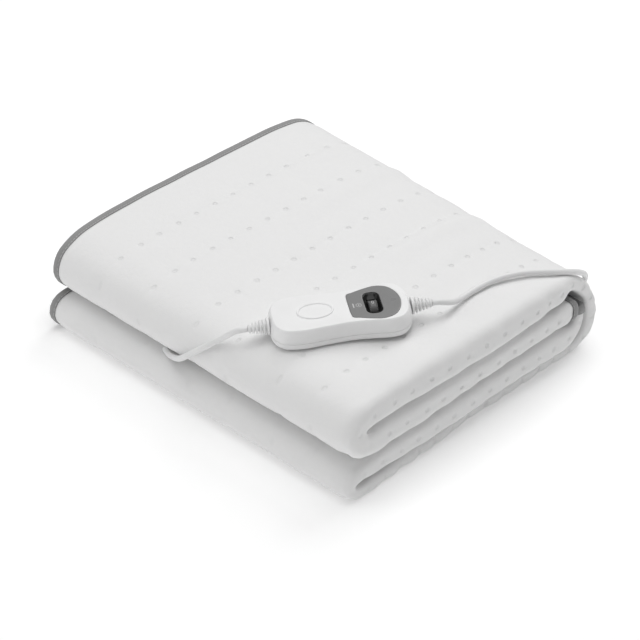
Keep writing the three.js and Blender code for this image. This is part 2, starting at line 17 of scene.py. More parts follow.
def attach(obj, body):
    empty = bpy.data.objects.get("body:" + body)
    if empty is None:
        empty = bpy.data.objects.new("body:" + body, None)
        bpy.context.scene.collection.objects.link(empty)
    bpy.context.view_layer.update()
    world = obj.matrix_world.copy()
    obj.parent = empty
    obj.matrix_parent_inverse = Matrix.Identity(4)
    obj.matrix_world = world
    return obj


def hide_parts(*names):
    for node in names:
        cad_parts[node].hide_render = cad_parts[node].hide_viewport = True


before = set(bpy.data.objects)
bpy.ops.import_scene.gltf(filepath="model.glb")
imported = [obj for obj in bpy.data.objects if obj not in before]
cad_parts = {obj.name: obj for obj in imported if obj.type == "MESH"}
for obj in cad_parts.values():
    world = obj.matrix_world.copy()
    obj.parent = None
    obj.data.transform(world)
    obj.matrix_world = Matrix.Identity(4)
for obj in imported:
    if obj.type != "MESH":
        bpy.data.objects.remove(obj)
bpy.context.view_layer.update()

# %% [markdown]
# Places on the stack are easiest to read from one corner: x runs from the bound edges along the
# rolls, y from the front of the stack to its back, z up from the surface, all in millimetres.
# One helper turns such a place into the frame's metres.

# %% Units and the corner that places are counted from
MM = 0.001
FOLDED_WIDTH = 400
DEPTH_IN_FRONT = 184.6


def in_frame(x, y, z):
    return Vector(((x - FOLDED_WIDTH / 2) * MM, (y - DEPTH_IN_FRONT) * MM, z * MM))


# %% [markdown]
# The camera looks down on the front right corner with a long lens, as a product photographer would
# stand well back. It is aimed a little below the middle of the stack, which puts the stack high in
# the picture without any lens shift.

# %% The camera
AZIMUTH = math.radians(44.2)
ELEVATION = math.radians(33.3)
CAMERA_DISTANCE = 2.3
LENS = 137
AIM_RIGHT, AIM_UP = -0.0076, -0.0592

stack_middle = in_frame(200, 180, 90)
towards_camera = Vector((math.sin(AZIMUTH) * math.cos(ELEVATION),
                         -math.cos(AZIMUTH) * math.cos(ELEVATION), math.sin(ELEVATION)))
picture_right = Vector((math.cos(AZIMUTH), math.sin(AZIMUTH), 0))
picture_up = towards_camera.cross(picture_right)

camera = bpy.data.objects.new("camera", bpy.data.cameras.new("camera"))
bpy.context.scene.collection.objects.link(camera)
bpy.context.scene.camera = camera
camera.data.lens = LENS
camera.data.sensor_width = 36
camera.location = stack_middle + towards_camera * CAMERA_DISTANCE
aim = stack_middle + picture_right * AIM_RIGHT + picture_up * AIM_UP
camera.rotation_euler = (aim - camera.location).to_track_quat("-Z", "Y").to_euler()
print("camera at", [round(value, 3) for value in camera.location])

# %% [markdown]
# Shader maths reads best as Python sums. A `Signal` is one socket of a node, and the operators on it
# add Math nodes. A `Finish` is a material: it holds one Principled shader and one method that adds
# every other node, so that each finish below is a few lines of arithmetic.

# %% Signals and finishes
class Signal:
    def __init__(self, finish, socket):
        self.finish = finish
        self.socket = socket

    def math(self, operation, first, second):
        return self.finish.add("ShaderNodeMath", {"operation": operation}, {0: first, 1: second})

    def __add__(self, other):
        return self.math("ADD", self, other)

    def __sub__(self, other):
        return self.math("SUBTRACT", self, other)

    def __rsub__(self, other):
        return self.math("SUBTRACT", other, self)

    def __mul__(self, other):
        return self.math("MULTIPLY", self, other)

    def __truediv__(self, other):
        return self.math("DIVIDE", self, other)

    def __pow__(self, other):
        return self.math("POWER", self, other)

    __radd__ = __add__
    __rmul__ = __mul__

    def fade(self, start, end):
        """1 up to start, falling smoothly to 0 at end. With end below start it rises instead."""
        settings = {"interpolation_type": "SMOOTHSTEP"}
        low, high, first, last = (start, end, 1, 0) if start < end else (end, start, 0, 1)
        sockets = {"Value": self, "From Min": low, "From Max": high, "To Min": first, "To Max": last}
        return self.finish.add("ShaderNodeMapRange", settings, sockets)


class Finish:
    def __init__(self, name, **shader_values):
        self.material = bpy.data.materials.new(name)
        self.material.use_nodes = True
        self.tree = self.material.node_tree
        self.shader = self.tree.nodes["Principled BSDF"]
        for socket_name, value in shader_values.items():
            self.shader.inputs[socket_name.replace("_", " ")].default_value = value

    def add(self, node_type, settings, sockets, output=0):
        node = self.tree.nodes.new(node_type)
        for name, value in settings.items():
            setattr(node, name, value)
        for key, value in sockets.items():
            self.join(node.inputs[key], value)
        return Signal(self, node.outputs[output])

    def join(self, socket, value):
        if isinstance(value, Signal):
            self.tree.links.new(value.socket, socket)
        else:
            socket.default_value = value

    def place(self):
        return self.add("ShaderNodeTexCoord", {}, {}, "Object")

    def map_of(self, name):
        return self.add("ShaderNodeUVMap", {"uv_map": name}, {})

    def split(self, vector):
        separate = self.add("ShaderNodeSeparateXYZ", {}, {0: vector}).socket.node
        return [Signal(self, separate.outputs[axis]) for axis in range(3)]

    def noise(self, vector, scale, detail=2.0, roughness=0.5):
        sockets = {"Vector": vector, "Scale": scale, "Detail": detail, "Roughness": roughness}
        return self.add("ShaderNodeTexNoise", {}, sockets)

    def mix(self, mask, first, second):
        return self.add("ShaderNodeMix", {"data_type": "RGBA"}, {0: mask, 6: first, 7: second}, 2)

    def raise_surface(self, height):
        """Height in metres, as bump."""
        sockets = {"Height": height, "Strength": 1.0, "Distance": 1.0}
        self.join(self.shader.inputs["Normal"], self.add("ShaderNodeBump", {}, sockets))

    def colour(self, value):
        self.join(self.shader.inputs["Base Color"], value)

    def roughness(self, value):
        self.join(self.shader.inputs["Roughness"], value)


def grey(level, warmth=0.0):
    return (level * (1 + warmth), level, level * (1 - warmth), 1.0)


print("shader helpers ready")

# %% [markdown]
# The lead is sheathed in soft white plastic. Under studio light its colour is nearly flat, so what
# sells it is a faint unevenness of the sheath and a satin gloss.

# %% Finish of the lead
lead_finish = Finish("lead_sheath", Roughness=0.42)
sheath_cloud = lead_finish.noise(lead_finish.place(), 60)
lead_finish.colour(lead_finish.mix(sheath_cloud, grey(0.80), grey(0.85)))
lead_finish.roughness(sheath_cloud * 0.12 + 0.36)
lead_finish.raise_surface(lead_finish.noise(lead_finish.place(), 900) * 0.00002)
print("finish:", lead_finish.material.name)

# %% [markdown]
# A lead is a curve with a round bevel: one open spline through given points, smooth at every
# point. The lead from the controller to the plug is one length of cable, so its coil belongs to the
# same spline. A loop works out the coil's turns: three wind inwards on the surface, one climbs, and
# three wind outwards on top of the first ones.

# %% A helper for leads
LEAD_RADIUS = 2.9


def lead_curve(name, points):
    data = bpy.data.curves.new(name, "CURVE")
    data.dimensions = "3D"
    spline = data.splines.new("BEZIER")
    spline.bezier_points.add(len(points) - 1)
    for knot, point in zip(spline.bezier_points, points):
        knot.co = in_frame(*point)
        knot.handle_left_type = knot.handle_right_type = "AUTO"
    data.resolution_u = 6
    data.bevel_depth = LEAD_RADIUS * MM
    data.bevel_resolution = 5
    data.use_fill_caps = True
    data.materials.append(lead_finish.material)
    piece = bpy.data.objects.new(name, data)
    bpy.context.scene.collection.objects.link(piece)
    return piece


def curve_length(piece):
    return sum(spline.calc_length() for spline in piece.data.splines)


# %% The short lead, from the controller into the crease under the upper roll
CONTROLLER_LEAD_ROUTE = [
    (252.63, 22.83, 111.73), (250.56, 19.88, 111.57), (247, 16.4, 110.4), (242.2, 13.8, 106.8),
    (237, 12.4, 102), (231.6, 11.2, 97), (225.4, 9, 91.6), (218.6, 6.2, 85.4), (211.4, 3.6, 79.2),
    (204, 1.8, 72.6), (196.6, 1.2, 66), (189.4, 1.8, 59.6), (182.6, 3.8, 54), (176, 6.4, 49.4),
    (169.4, 8.8, 45.8), (162.8, 11, 43.2), (157, 13.2, 41.4), (151.6, 15.6, 40.2),
    (146.8, 18, 39.8)]
controller_lead = lead_curve("lead_to_blanket", CONTROLLER_LEAD_ROUTE)
print("lead to the blanket:", round(curve_length(controller_lead), 3), "m")

# %% The long lead, from the controller over the back of the stack to the plug
MAINS_LEAD_ROUTE = [
    (349.13, 160.64, 119.07), (351.19, 163.59, 119.23), (353.6, 168, 118.4), (355, 174.4, 115.6),
    (354.8, 182, 112.2), (353.4, 191, 109.2), (352, 201, 107.5), (351, 213, 106.9),
    (351.2, 226, 106.8), (353, 240, 106.8), (357.6, 256, 106.6), (364.4, 270.6, 105.9),
    (371.6, 282.6, 104.6), (378.4, 294, 102.6), (384, 305, 100), (387, 316, 96),
    (386.4, 327.5, 89.6), (382.6, 338.4, 80.6), (376.4, 347.6, 68.8), (368, 354, 54.8),
    (357.4, 358.4, 40.4), (344.4, 362, 27), (329, 366, 15.6), (311, 369, 7.6), (290, 370.4, 4),
    (266, 371.2, 3.3), (234, 372, 3.3), (202, 372.8, 3.3), (170, 373.4, 3.3), (138, 374, 3.3),
    (106, 374.4, 3.3), (76, 374.2, 3.3), (50, 373, 3.3), (30, 370.6, 3.3), (13, 366.2, 3.3),
    (-0.6, 358.4, 3.3), (-8, 346.6, 3.3), (-10.3, 332, 3.3), (-10.3, 316, 3.3), (-10.3, 300, 3.3),
    (-10.3, 284.5, 3.3)]
PLUG_LEAD_ROUTE = [
    (-10.3, 239.5, 10), (-10.8, 232, 9.5), (-12.4, 222, 8.6), (-15.2, 211.4, 7.8),
    (-17.8, 201, 7.4), (-19, 192.6, 7.4), (-19, 187, 7.4)]
COIL_X, COIL_Y = -48, 262
COIL_TURNS, POINTS_A_TURN = 7, 16
OUTER_TURN_RADIUS, TURN_PITCH = 37.775, 5.85
LOWER_TURN_HEIGHT, TURN_RISE = 4.05, 5.9
CLIMB_START, CLIMB_END, CLIMB_DRAW_IN = 3, 3.6, 1.1


def eased(value, start, end):
    share = min(max((value - start) / (end - start), 0), 1)
    return share * share * (3 - 2 * share)


def coil_point(turn):
    """Where the coil is after so many turns: inwards below, once round to climb, outwards above."""
    outward_turn = min(turn, COIL_TURNS - turn)
    radius = OUTER_TURN_RADIUS - TURN_PITCH * min(outward_turn, CLIMB_START)
    radius -= CLIMB_DRAW_IN * math.sin(math.pi * eased(outward_turn, CLIMB_START, COIL_TURNS / 2))
    angle = -2 * math.pi * turn
    height = LOWER_TURN_HEIGHT + TURN_RISE * eased(turn, CLIMB_START, CLIMB_END)
    return (COIL_X + radius * math.cos(angle), COIL_Y + radius * math.sin(angle), height)


coil = [coil_point(step / POINTS_A_TURN) for step in range(COIL_TURNS * POINTS_A_TURN + 1)]
mains_lead = lead_curve("lead_to_plug", MAINS_LEAD_ROUTE + coil + PLUG_LEAD_ROUTE)
print("lead to the plug:", round(curve_length(mains_lead), 3), "m, coil turns:", COIL_TURNS)

# %% [markdown]
# The blanket is a double layer of fleece, 0.80 m wide. It is halved across, so its two long edges
# meet, and then folded back and forth into four doubled layers. A table gives the fold's path, the
# same one that the frame's solid has: each row is a place that the doubled cloth runs through, given
# at the bound edges and at the halving fold. A smooth curve joins the rows.

# %% The fold's path
PATH = {
    "upper cut end": (328, 66, 8, 316, 56, 10.5, 396),
    "second layer rear": (300, 66, 8, 288, 57, 11.8, 397),
    "second layer middle": (200, 65, 8, 200, 57.3, 12.2, 398),
    "second layer front": (104, 59, 8, 104, 54.6, 14.4, 398),
    "into the upper roll": (58, 50, 8, 60, 54.4, 14.8, 398),
    "upper roll underside": (34, 47.6, 8, 34, 54.6, 14, 399),
    "upper roll turning up": (21.5, 51, 8, 20.6, 59, 13.8, 400),
    "upper roll front": (15.7, 62, 8, 15.8, 70.2, 13.4, 400),
    "upper roll turning back": (20, 75.5, 8, 20.6, 81.3, 13.8, 400),
    "upper roll top": (36, 85.2, 8, 34, 85.8, 14.8, 400),
    "top layer front": (60, 90.2, 8, 60, 86.6, 15.8, 400),
    "top layer shoulder": (108, 92.8, 8, 108, 86.9, 16, 400),
    "top layer middle": (180, 93.3, 8, 180, 86.9, 16.1, 400),
    "top layer rear": (252, 93, 8, 252, 86.8, 15.8, 399),
    "top layer crest": (308, 92, 8, 286, 86.4, 13, 396),
    "wrap top": (337, 87.5, 7.8, 306, 86.8, 9, 393),
    "wrap turning down": (353, 77.5, 7.4, 322, 79.5, 7.2, 391),
    "wrap back": (361.5, 62, 7.2, 335.5, 65.5, 6.8, 391),
    "wrap middle": (363, 44, 7.2, 344, 49.5, 6.7, 391),
    "wrap lower": (360, 27, 7.2, 346, 33, 6.6, 391),
    "wrap turning under": (350, 13.5, 7.6, 341, 17, 6.6, 390),
    "bottom layer back": (332, 8, 8, 325, 8.2, 6.5, 389),
    "bottom layer rear": (296, 7.7, 8, 296, 6.2, 6.5, 388),
    "bottom layer middle": (200, 7.7, 8, 200, 6.2, 6.5, 389),
    "bottom layer front": (100, 7.7, 8, 100, 6.2, 6.5, 393),
    "into the lower roll": (48, 7.7, 8, 50, 6.2, 6.5, 396),
    "lower roll underside": (28, 7.8, 8, 30, 6.4, 6.5, 397),
    "lower roll start": (17.5, 8.2, 8, 19, 6.9, 6.6, 397),
    "lower roll turning up": (10.1, 11.3, 8, 12, 10, 7, 397),
    "lower roll front": (7, 18.6, 8, 9, 16.8, 7.7, 397),
    "lower roll turning back": (10.1, 25.9, 8, 12.2, 23.5, 8.4, 397),
    "lower roll top": (17.5, 28.9, 8, 20, 26.3, 9.2, 397),
    "out of the lower roll": (30, 29.4, 8, 33, 26.5, 10.6, 397),
    "third layer front": (60, 30.2, 8, 62, 26.3, 11.8, 397),
    "third layer shoulder": (104, 34, 8, 104, 26.6, 12.2, 397),
    "third layer middle": (200, 38.5, 8, 200, 29, 13.4, 397),
    "third layer rear": (296, 39, 8, 280, 30, 13.4, 397),
    "lower end curling up": (326, 38.5, 8, 308, 29.5, 11.5, 396),
    "lower end curl": (339.5, 44, 7.6, 321, 34.5, 8.4, 393),
    "lower end standing": (343.5, 55, 7, 327, 45, 6.6, 392),
    "lower cut end": (343.5, 64, 7, 326, 53, 6.5, 392),
}
path_rows = np.array(list(PATH.values()), float)
AT_BOUND_EDGES = path_rows[:, :3]
AT_HALVING_FOLD = path_rows[:, 3:6]
REACH = path_rows[:, 6]
LAST_PLACE = len(PATH) - 1


def between(before, start, end, after, rest):
    """Points on a centripetal Catmull-Rom spline, at shares of the way from start to end."""
    def root_of_gap(a, b):
        return np.sqrt(np.linalg.norm(b - a, axis=1))[:, None]

    first, middle, last = root_of_gap(before, start), root_of_gap(start, end), root_of_gap(end, after)
    leaving = ((start - before) / first - (end - before) / (first + middle)
               + (end - start) / middle) * middle
    arriving = ((end - start) / middle - (after - start) / (middle + last)
                + (after - end) / last) * middle
    return (start + rest * leaving + rest ** 2 * (3 * (end - start) - 2 * leaving - arriving)
            + rest ** 3 * (2 * (start - end) + leaving + arriving))


def path_point(share, place):
    """y, z and half height of the doubled cloth, at shares of the width and places on the path.
    Places count the rows of the table."""
    share = share[:, None]
    row = np.minimum(place.astype(int), LAST_PLACE - 1)
    rest = (place - row)[:, None]

    def control(index):
        index = np.clip(index, 0, LAST_PLACE)
        return AT_BOUND_EDGES[index] * (1 - share) + AT_HALVING_FOLD[index] * share

    start, end = control(row), control(row + 1)
    before = np.where(row[:, None] > 0, control(row - 1), 2 * start - end)
    after = np.where(row[:, None] < LAST_PLACE - 1, control(row + 2), 2 * end - start)
    return between(before, start, end, after, rest)


def reach_at(place):
    """How far the halving fold comes out."""
    row = np.minimum(place.astype(int), LAST_PLACE - 1)
    rest = place - row
    rest = rest * rest * (3 - 2 * rest)
    return REACH[row] * (1 - rest) + REACH[row + 1] * rest


def place_of(name, share=0.0):
    """The place of a row of the table, and a share of the way on to the next."""
    return list(PATH).index(name) + share


print("rows of the fold's path:", len(PATH))

# %% [markdown]
# The fleece is bonded in rows of dots, 24 mm apart along the blanket. A fine grid of cloth carries
# them: the grid's lines across the cloth crowd near each row, and the lines along it are 4 mm apart,
# so that every dot has a crossing of its own. The rows' places are counted from the bound edge.

# %% Lines of the cloth's grid
CLOTH = 6.2
CLOTH_MIDDLE = 3.1
DOT_ROWS = (67, 123, 191, 241, 304, 349)
DOT_PITCH, LINE_STEP = 24, 4
LINES_A_DOT = DOT_PITCH // LINE_STEP
ROW_BAND = (-6, -3, 0, 3, 6)
OPEN_STEP = 10
CLOTH_EDGE = 1.5
OUTER_PHASES = (1, 5, 3, 4, 2, 4)
INNER_PHASES = (2, 0, 4, 1, 5, 3)
RIDGE_PHASE = 0
RIDGE_ROW = len(DOT_ROWS)
TURN_ANGLES = (12, 26, 38, 50, 64, 78, 90, 102, 116, 130, 142, 154, 168)
TAIL_SHARES = (0.34, 0.67)


def even_steps(start, end):
    count = max(1, math.ceil((end - start) / OPEN_STEP))
    return [start + (end - start) * i / count for i in range(1, count)]


def columns_of_half(side, phases):
    """One half of the width, from the bound edge to a little past the last row of dots. Each column
    has its side, its distance from the bound edge, and its place and phase in the dots' lattice."""
    columns = []
    for position, row in enumerate(DOT_ROWS):
        before = DOT_ROWS[position - 1] + ROW_BAND[-1] if position else CLOTH_EDGE
        gap = even_steps(before, row + ROW_BAND[0])
        for x in gap if position else [CLOTH_EDGE] + gap:
            share = (x - before) / (row + ROW_BAND[0] - before)
            lattice = position - 0.75 + 0.5 * share if position else 0.25 * share - 0.5
            phase = np.interp(position - 1 + share, range(len(phases)), phases)
            columns.append({"side": side, "x": x, "lattice": lattice, "phase": phase})
        for offset in ROW_BAND:
            lattice = position + offset / DOT_PITCH
            columns.append({"side": side, "x": row + offset, "lattice": lattice, "phase": phases[position]})
    return columns


def columns_of_cloth():
    """The whole width: the outer layer, the turn at the halving fold, and the inner layer back."""
    outer = columns_of_half(1, OUTER_PHASES)
    inner = columns_of_half(-1, INNER_PHASES)
    for column in inner:
        column["lattice"] = 2 * RIDGE_ROW - column["lattice"]
    tail = [{"side": 1, "past_rows": share, "phase": OUTER_PHASES[-1]} for share in TAIL_SHARES]
    turn = [{"angle": math.radians(angle)} for angle in (0, *TURN_ANGLES, 180)]
    back = [{"side": -1, "past_rows": share, "phase": INNER_PHASES[-1]} for share in TAIL_SHARES]
    return outer + tail + turn + back[::-1] + inner[::-1]


def line_places():
    """Places along the path, about LINE_STEP apart on the cloth."""
    places = []
    for row in range(LAST_PLACE):
        stretch = np.linspace(row, row + 1, 6)
        walks = [path_point(np.full(6, share), stretch)[:, :2] for share in (0.0, 1.0)]
        length = sum(np.linalg.norm(np.diff(walk, axis=0), axis=1).sum() for walk in walks) / 2
        count = max(1, round(length / LINE_STEP))
        places += [row + step / count for step in range(count)]
    return np.array(places + [LAST_PLACE], float)


columns = columns_of_cloth()
lines = line_places()
first_dot_line = int(np.argmin(abs(lines - place_of("top layer front"))))
print("cloth grid:", len(columns), "columns by", len(lines), "lines")

# %% [markdown]
# Every point of the cloth is found the same way: go along the fold's path, go across to the column,
# and step off the path by the doubled cloth's half height. At the halving fold the layer turns round
# a squared half circle instead. The surface below presses the lowest layer flat.

# %% The middle of a layer, with its outward normal
SQUARING = 3.6


def turn_start(place):
    half = path_point(np.ones(len(place)), place)[:, 2]
    return reach_at(place) - half


def path_with_normal(share, place):
    point = path_point(share, place)
    ahead = path_point(share, np.minimum(place + 0.02, LAST_PLACE))
    behind = path_point(share, np.maximum(place - 0.02, 0))
    along = (ahead - behind)[:, :2]
    along /= np.linalg.norm(along, axis=1)[:, None]
    return point, np.stack([-along[:, 1], along[:, 0]], 1)


def pressed(points, least):
    points[:, 2] = np.maximum(points[:, 2], least)
    return points


def flat_layer(side, x, place):
    """A layer's middle at a distance x from the bound edges. side is 1 outside and -1 inside."""
    point, normal = path_with_normal(x / turn_start(place), place)
    offset = side * (point[:, 2] - CLOTH_MIDDLE)[:, None]
    middle = np.column_stack([np.full(len(place), x) if np.isscalar(x) else x,
                              point[:, :2] + offset * normal])
    outward = np.column_stack([np.zeros(len(place)), side * normal])
    return pressed(middle, CLOTH_MIDDLE), outward


def turned_layer(angle, place):
    """A layer's middle round the halving fold, where pressing has squared the half circle. SQUARING
    is 2 for a half circle and more for a squarer turn. The angle is the direction from the turn's
    centre, so steps near the ridge keep their length and the dots there stay round."""
    point, normal = path_with_normal(np.ones(len(place)), place)
    sine, cosine = math.sin(angle), math.cos(angle)
    size = (sine ** SQUARING + abs(cosine) ** SQUARING) ** (-1 / SQUARING)
    reach, lift = size * sine, size * cosine
    steep, flat = reach ** (SQUARING - 1), math.copysign(abs(lift) ** (SQUARING - 1), cosine)
    steep, flat = steep / math.hypot(steep, flat), flat / math.hypot(steep, flat)
    outward = np.column_stack([np.full(len(place), steep), flat * normal])
    offset = np.column_stack([np.full(len(place), reach), lift * normal])
    centre = np.column_stack([turn_start(place), point[:, :2]])
    radius = (point[:, 2] - CLOTH_MIDDLE)[:, None]
    return pressed(centre + radius * offset, CLOTH_MIDDLE), outward


def column_of_cloth(column, place):
    """A column's middle line and normals, its distance across the cloth, and its dots' lattice."""
    start = turn_start(place)
    radius = path_point(np.ones(len(place)), place)[:, 2] - CLOTH_MIDDLE
    past_rows = DOT_ROWS[-1] + ROW_BAND[-1]
    half_turn = radius * math.pi / 2
    if "angle" in column:
        middle, outward = turned_layer(column["angle"], place)
        across = start + column["angle"] * radius
    else:
        x = column["x"] if "x" in column else past_rows + column["past_rows"] * (start - past_rows)
        middle, outward = flat_layer(column["side"], x, place)
        across = middle[:, 0] if column["side"] > 0 else 2 * (start + half_turn) - middle[:, 0]
    if "x" in column:
        lattice = np.full(len(place), column["lattice"])
        return middle, outward, across, lattice, np.full(len(place), column["phase"], float)
    from_ridge = across - (start + half_turn)
    stretch = start + half_turn - past_rows
    share = np.clip((abs(from_ridge) - ROW_BAND[-1]) / (stretch - ROW_BAND[-1]), 0, 1)
    near = np.minimum(abs(from_ridge), ROW_BAND[-1]) / DOT_PITCH
    lattice = RIDGE_ROW + np.sign(from_ridge) * (near + 0.5 * share)
    last_phase = np.where(from_ridge < 0, OUTER_PHASES[-1], INNER_PHASES[-1])
    return middle, outward, across, lattice, RIDGE_PHASE * (1 - share) + last_phase * share


measured = [column_of_cloth(column, lines) for column in columns]
middle = np.stack([m[0] for m in measured])
outward = np.stack([m[1] for m in measured])
across = np.stack([m[2] for m in measured])
bond_across = np.stack([m[3] for m in measured])
bond_along = (np.arange(len(lines)) - first_dot_line - np.stack([m[4] for m in measured])) / LINES_A_DOT
steps = np.linalg.norm(np.diff(middle, axis=1), axis=2).mean(axis=0)
along = np.concatenate([[0], np.cumsum(steps)])
print("cloth:", round(across[-1].mean()), "mm across,", round(along[-1]), "mm along")

# %% [markdown]
# What makes the cloth look sewn and handled is its relief. Each bond pulls a soft dimple into the
# face, each row of bonds lies in a faint trough, and hands leave soft ridges and creases. All of it
# is one height over the cloth, counted along the outward normal.

# %% Relief of the cloth, in millimetres
DIMPLE_DEPTH, DIMPLE_WIDTH = 1.3, 4.2
TROUGH_DEPTH = 0.35
RIDGE_HALF_WIDTH, RIDGE_UNEVENNESS = 24, 1.3
GATHER_HEIGHT = 2.6
GATHERED = {"upper roll top": 0, "top layer shoulder": 0.8, "top layer crest": 1, "wrap top": 0}
CREASES = {
    "first soft ridge": (140, "top layer rear", 0.3, 0, 95, 9, 2.8),
    "second soft ridge": (255, "top layer rear", 0.2, 0, 85, 10, 2.6),
    "trough by the first": (158, "top layer rear", 0.3, 0, 90, 10, -1.7),
    "trough by the second": (238, "top layer rear", 0.2, 0, 80, 10, -1.6),
    "fold mouth, upper roll": (392, "upper roll front", 0.2, 10, 16, 3, -2.2),
    "pucker, upper roll": (378, "upper roll turning back", 0.4, 40, 18, 4, -1.1),
    "pucker by it": (384, "upper roll turning up", 0.3, -35, 16, 3.5, -1.2),
    "fold mouth, lower roll": (392, "lower roll front", 0.1, 0, 12, 3, -2.0),
    "crease in the wrap": (385, "wrap back", 0.2, 90, 14, 3, -1.4),
    "second crease in the wrap": (384, "wrap middle", 0.3, 80, 13, 3, -1.4),
    "crease by the wrap": (366, "top layer crest", 0.4, 40, 20, 4, -1.6),
    "ridge by that crease": (356, "top layer crest", 0.2, 45, 24, 6, 1.2),
    "pull towards the controller": (215, "top layer front", 0.3, 62, 60, 9, -0.9),
    "soft fold on the top": (70, "top layer middle", 0.4, -24, 80, 12, 1.1),
}


# The bonds are tight where the cloth lies flat and ease out where it rolls over.
TIGHTNESS = {"upper cut end": 1, "into the upper roll": 0.9, "upper roll underside": 0.4,
             "upper roll turning back": 0.6, "top layer front": 0.9, "top layer shoulder": 1,
             "bottom layer front": 1, "lower roll underside": 0.3, "lower roll top": 0.3,
             "third layer front": 0.7, "third layer middle": 1}
tightness = np.interp(lines, [place_of(name) for name in TIGHTNESS], list(TIGHTNESS.values()))


def dimples():
    over = (bond_across - np.round(bond_across)) * DOT_PITCH
    away = (bond_along - np.round(bond_along)) * DOT_PITCH
    return -DIMPLE_DEPTH * tightness * np.exp(-(over ** 2 + away ** 2) / DIMPLE_WIDTH ** 2)


def row_troughs():
    return -TROUGH_DEPTH * (0.5 + 0.5 * np.cos(2 * math.pi * bond_across)) ** 2


def creases():
    height = np.zeros_like(across)
    for x, row, share, turn, half_length, half_width, depth in CREASES.values():
        centre = np.interp(place_of(row, share), lines, along)
        dx, dy = across - x, along[None, :] - centre
        cos, sin = math.cos(math.radians(turn)), math.sin(math.radians(turn))
        lengthwise, crosswise = dy * cos + dx * sin, dx * cos - dy * sin
        height += depth * np.exp(-(lengthwise / half_length) ** 2 - (crosswise / half_width) ** 2)
    return height


def waves(x, y, size, seed):
    """Smooth unevenness of about that size, from -1 to 1, at places on the cloth."""
    x, y = np.broadcast_arrays(x, y)
    values = [noise.noise(Vector((a / size, b / size, seed))) for a, b in zip(x.ravel(), y.ravel())]
    return np.array(values).reshape(x.shape)


def unevenness(x, y):
    """What hands and washing leave: broad waves, small ones, and a rougher line at the halving fold."""
    ridge = np.exp(-((x - across[-1].mean() / 2) / RIDGE_HALF_WIDTH) ** 2)
    return (1.1 * waves(x, y, 90, 3.5) + 0.35 * waves(x, y, 28, 8.1)
            + RIDGE_UNEVENNESS * ridge * waves(x, y, 19, 5.7))


def gathers():
    """Long soft swells beside the rows of bonds, on the top layer. There are none on a row itself or
    midway between two."""
    on_top = np.interp(lines, [place_of(name) for name in GATHERED], list(GATHERED.values()))
    swell = np.sin(2 * math.pi * bond_across) ** 2 * waves(across, along[None, :] * 0.35, 30, 2.2)
    return GATHER_HEIGHT * on_top * swell


relief = dimples() + row_troughs() + creases() + gathers() + unevenness(across, along)
cloth_points = middle + outward * relief[:, :, None]
cloth_points[:, :, 2] = np.maximum(cloth_points[:, :, 2], CLOTH_MIDDLE)
print("relief:", round(relief.min(), 2), "to", round(relief.max(), 2), "mm")

# %% [markdown]
# The cloth starts as a flat grid, as it lay on the cutting table, and each crossing then moves to its
# place in the folds. Three maps are kept from the flat state: one in metres, for fibres, one in dots,
# whose whole numbers are the bonds, and one for how tight the bonds are. Solidify gives the fleece its
# thickness, less at the edges where the binding pinches it.

# %% The fleece as one folded sheet
PINCH_START, PINCH_END, PINCHED = 5, 17, 0.45


def grid_mesh(name, points, maps):
    """A grid whose crossings are moved to points, given as columns by lines by three, in millimetres."""
    column_count, line_count = points.shape[:2]
    bm = bmesh.new()
    bmesh.ops.create_grid(bm, x_segments=column_count - 1, y_segments=line_count - 1, size=0.5)
    mesh = bpy.data.meshes.new(name)
    bm.to_mesh(mesh)
    bm.free()
    flat = np.empty(len(mesh.vertices) * 3)
    mesh.vertices.foreach_get("co", flat)
    flat = flat.reshape(-1, 3) + 0.5
    column = np.rint(flat[:, 0] * (column_count - 1)).astype(int)
    line = np.rint(flat[:, 1] * (line_count - 1)).astype(int)
    placed = points[column, line] - [FOLDED_WIDTH / 2, DEPTH_IN_FRONT, 0]
    mesh.vertices.foreach_set("co", (placed * MM).ravel())
    corners = np.empty(len(mesh.loops), dtype=int)
    mesh.loops.foreach_get("vertex_index", corners)
    for map_name, (first, second) in maps.items():
        layer = mesh.uv_layers.new(name=map_name)
        values = np.stack([first[column, line], second[column, line]], 1)[corners]
        layer.data.foreach_set("uv", values.ravel())
    mesh.polygons.foreach_set("use_smooth", [True] * len(mesh.polygons))
    return mesh, column, line


def placed_piece(name, mesh, finish):
    piece = bpy.data.objects.new(name, mesh)
    bpy.context.scene.collection.objects.link(piece)
    mesh.materials.append(finish.material)
    return piece


def thicken(piece, thickness):
    modifier = piece.modifiers.new("thickness", "SOLIDIFY")
    modifier.thickness = thickness * MM
    modifier.offset = 0.0
    modifier.use_rim = True
    return modifier


fleece_finish = Finish("white_fleece", Roughness=0.93, Sheen_Weight=0.25, Sheen_Roughness=0.6)
along_grid = np.broadcast_to(along, across.shape)
tightness_grid = np.broadcast_to(tightness, across.shape)
maps = {"cut": (across * MM, along_grid * MM), "bonds": (bond_across, bond_along),
        "tightness": (tightness_grid, tightness_grid)}
fleece_mesh, fleece_column, fleece_line = grid_mesh("fleece", cloth_points, maps)
fleece = placed_piece("fleece", fleece_mesh, fleece_finish)
from_edge = np.minimum(np.minimum(across, across[-1] - across),
                       np.minimum(along_grid, along[-1] - along_grid))
fullness = np.clip((from_edge - PINCH_START) / (PINCH_END - PINCH_START), 0, 1)
fullness = PINCHED + (1 - PINCHED) * fullness * fullness * (3 - 2 * fullness)
group = fleece.vertex_groups.new(name="fullness")
for index, (column, line) in enumerate(zip(fleece_column, fleece_line)):
    group.add([index], float(fullness[column, line]), "REPLACE")
thickness = thicken(fleece, CLOTH)
thickness.vertex_group = "fullness"
print("fleece:", len(fleece_mesh.polygons), "faces before thickness")

# %% [markdown]
# Fleece scatters light, so it is white and rough with a little sheen. Its bump is a sum of heights in
# metres: fine fibres, felted clumps, and at each bond a small pressed disc with a soft rim.

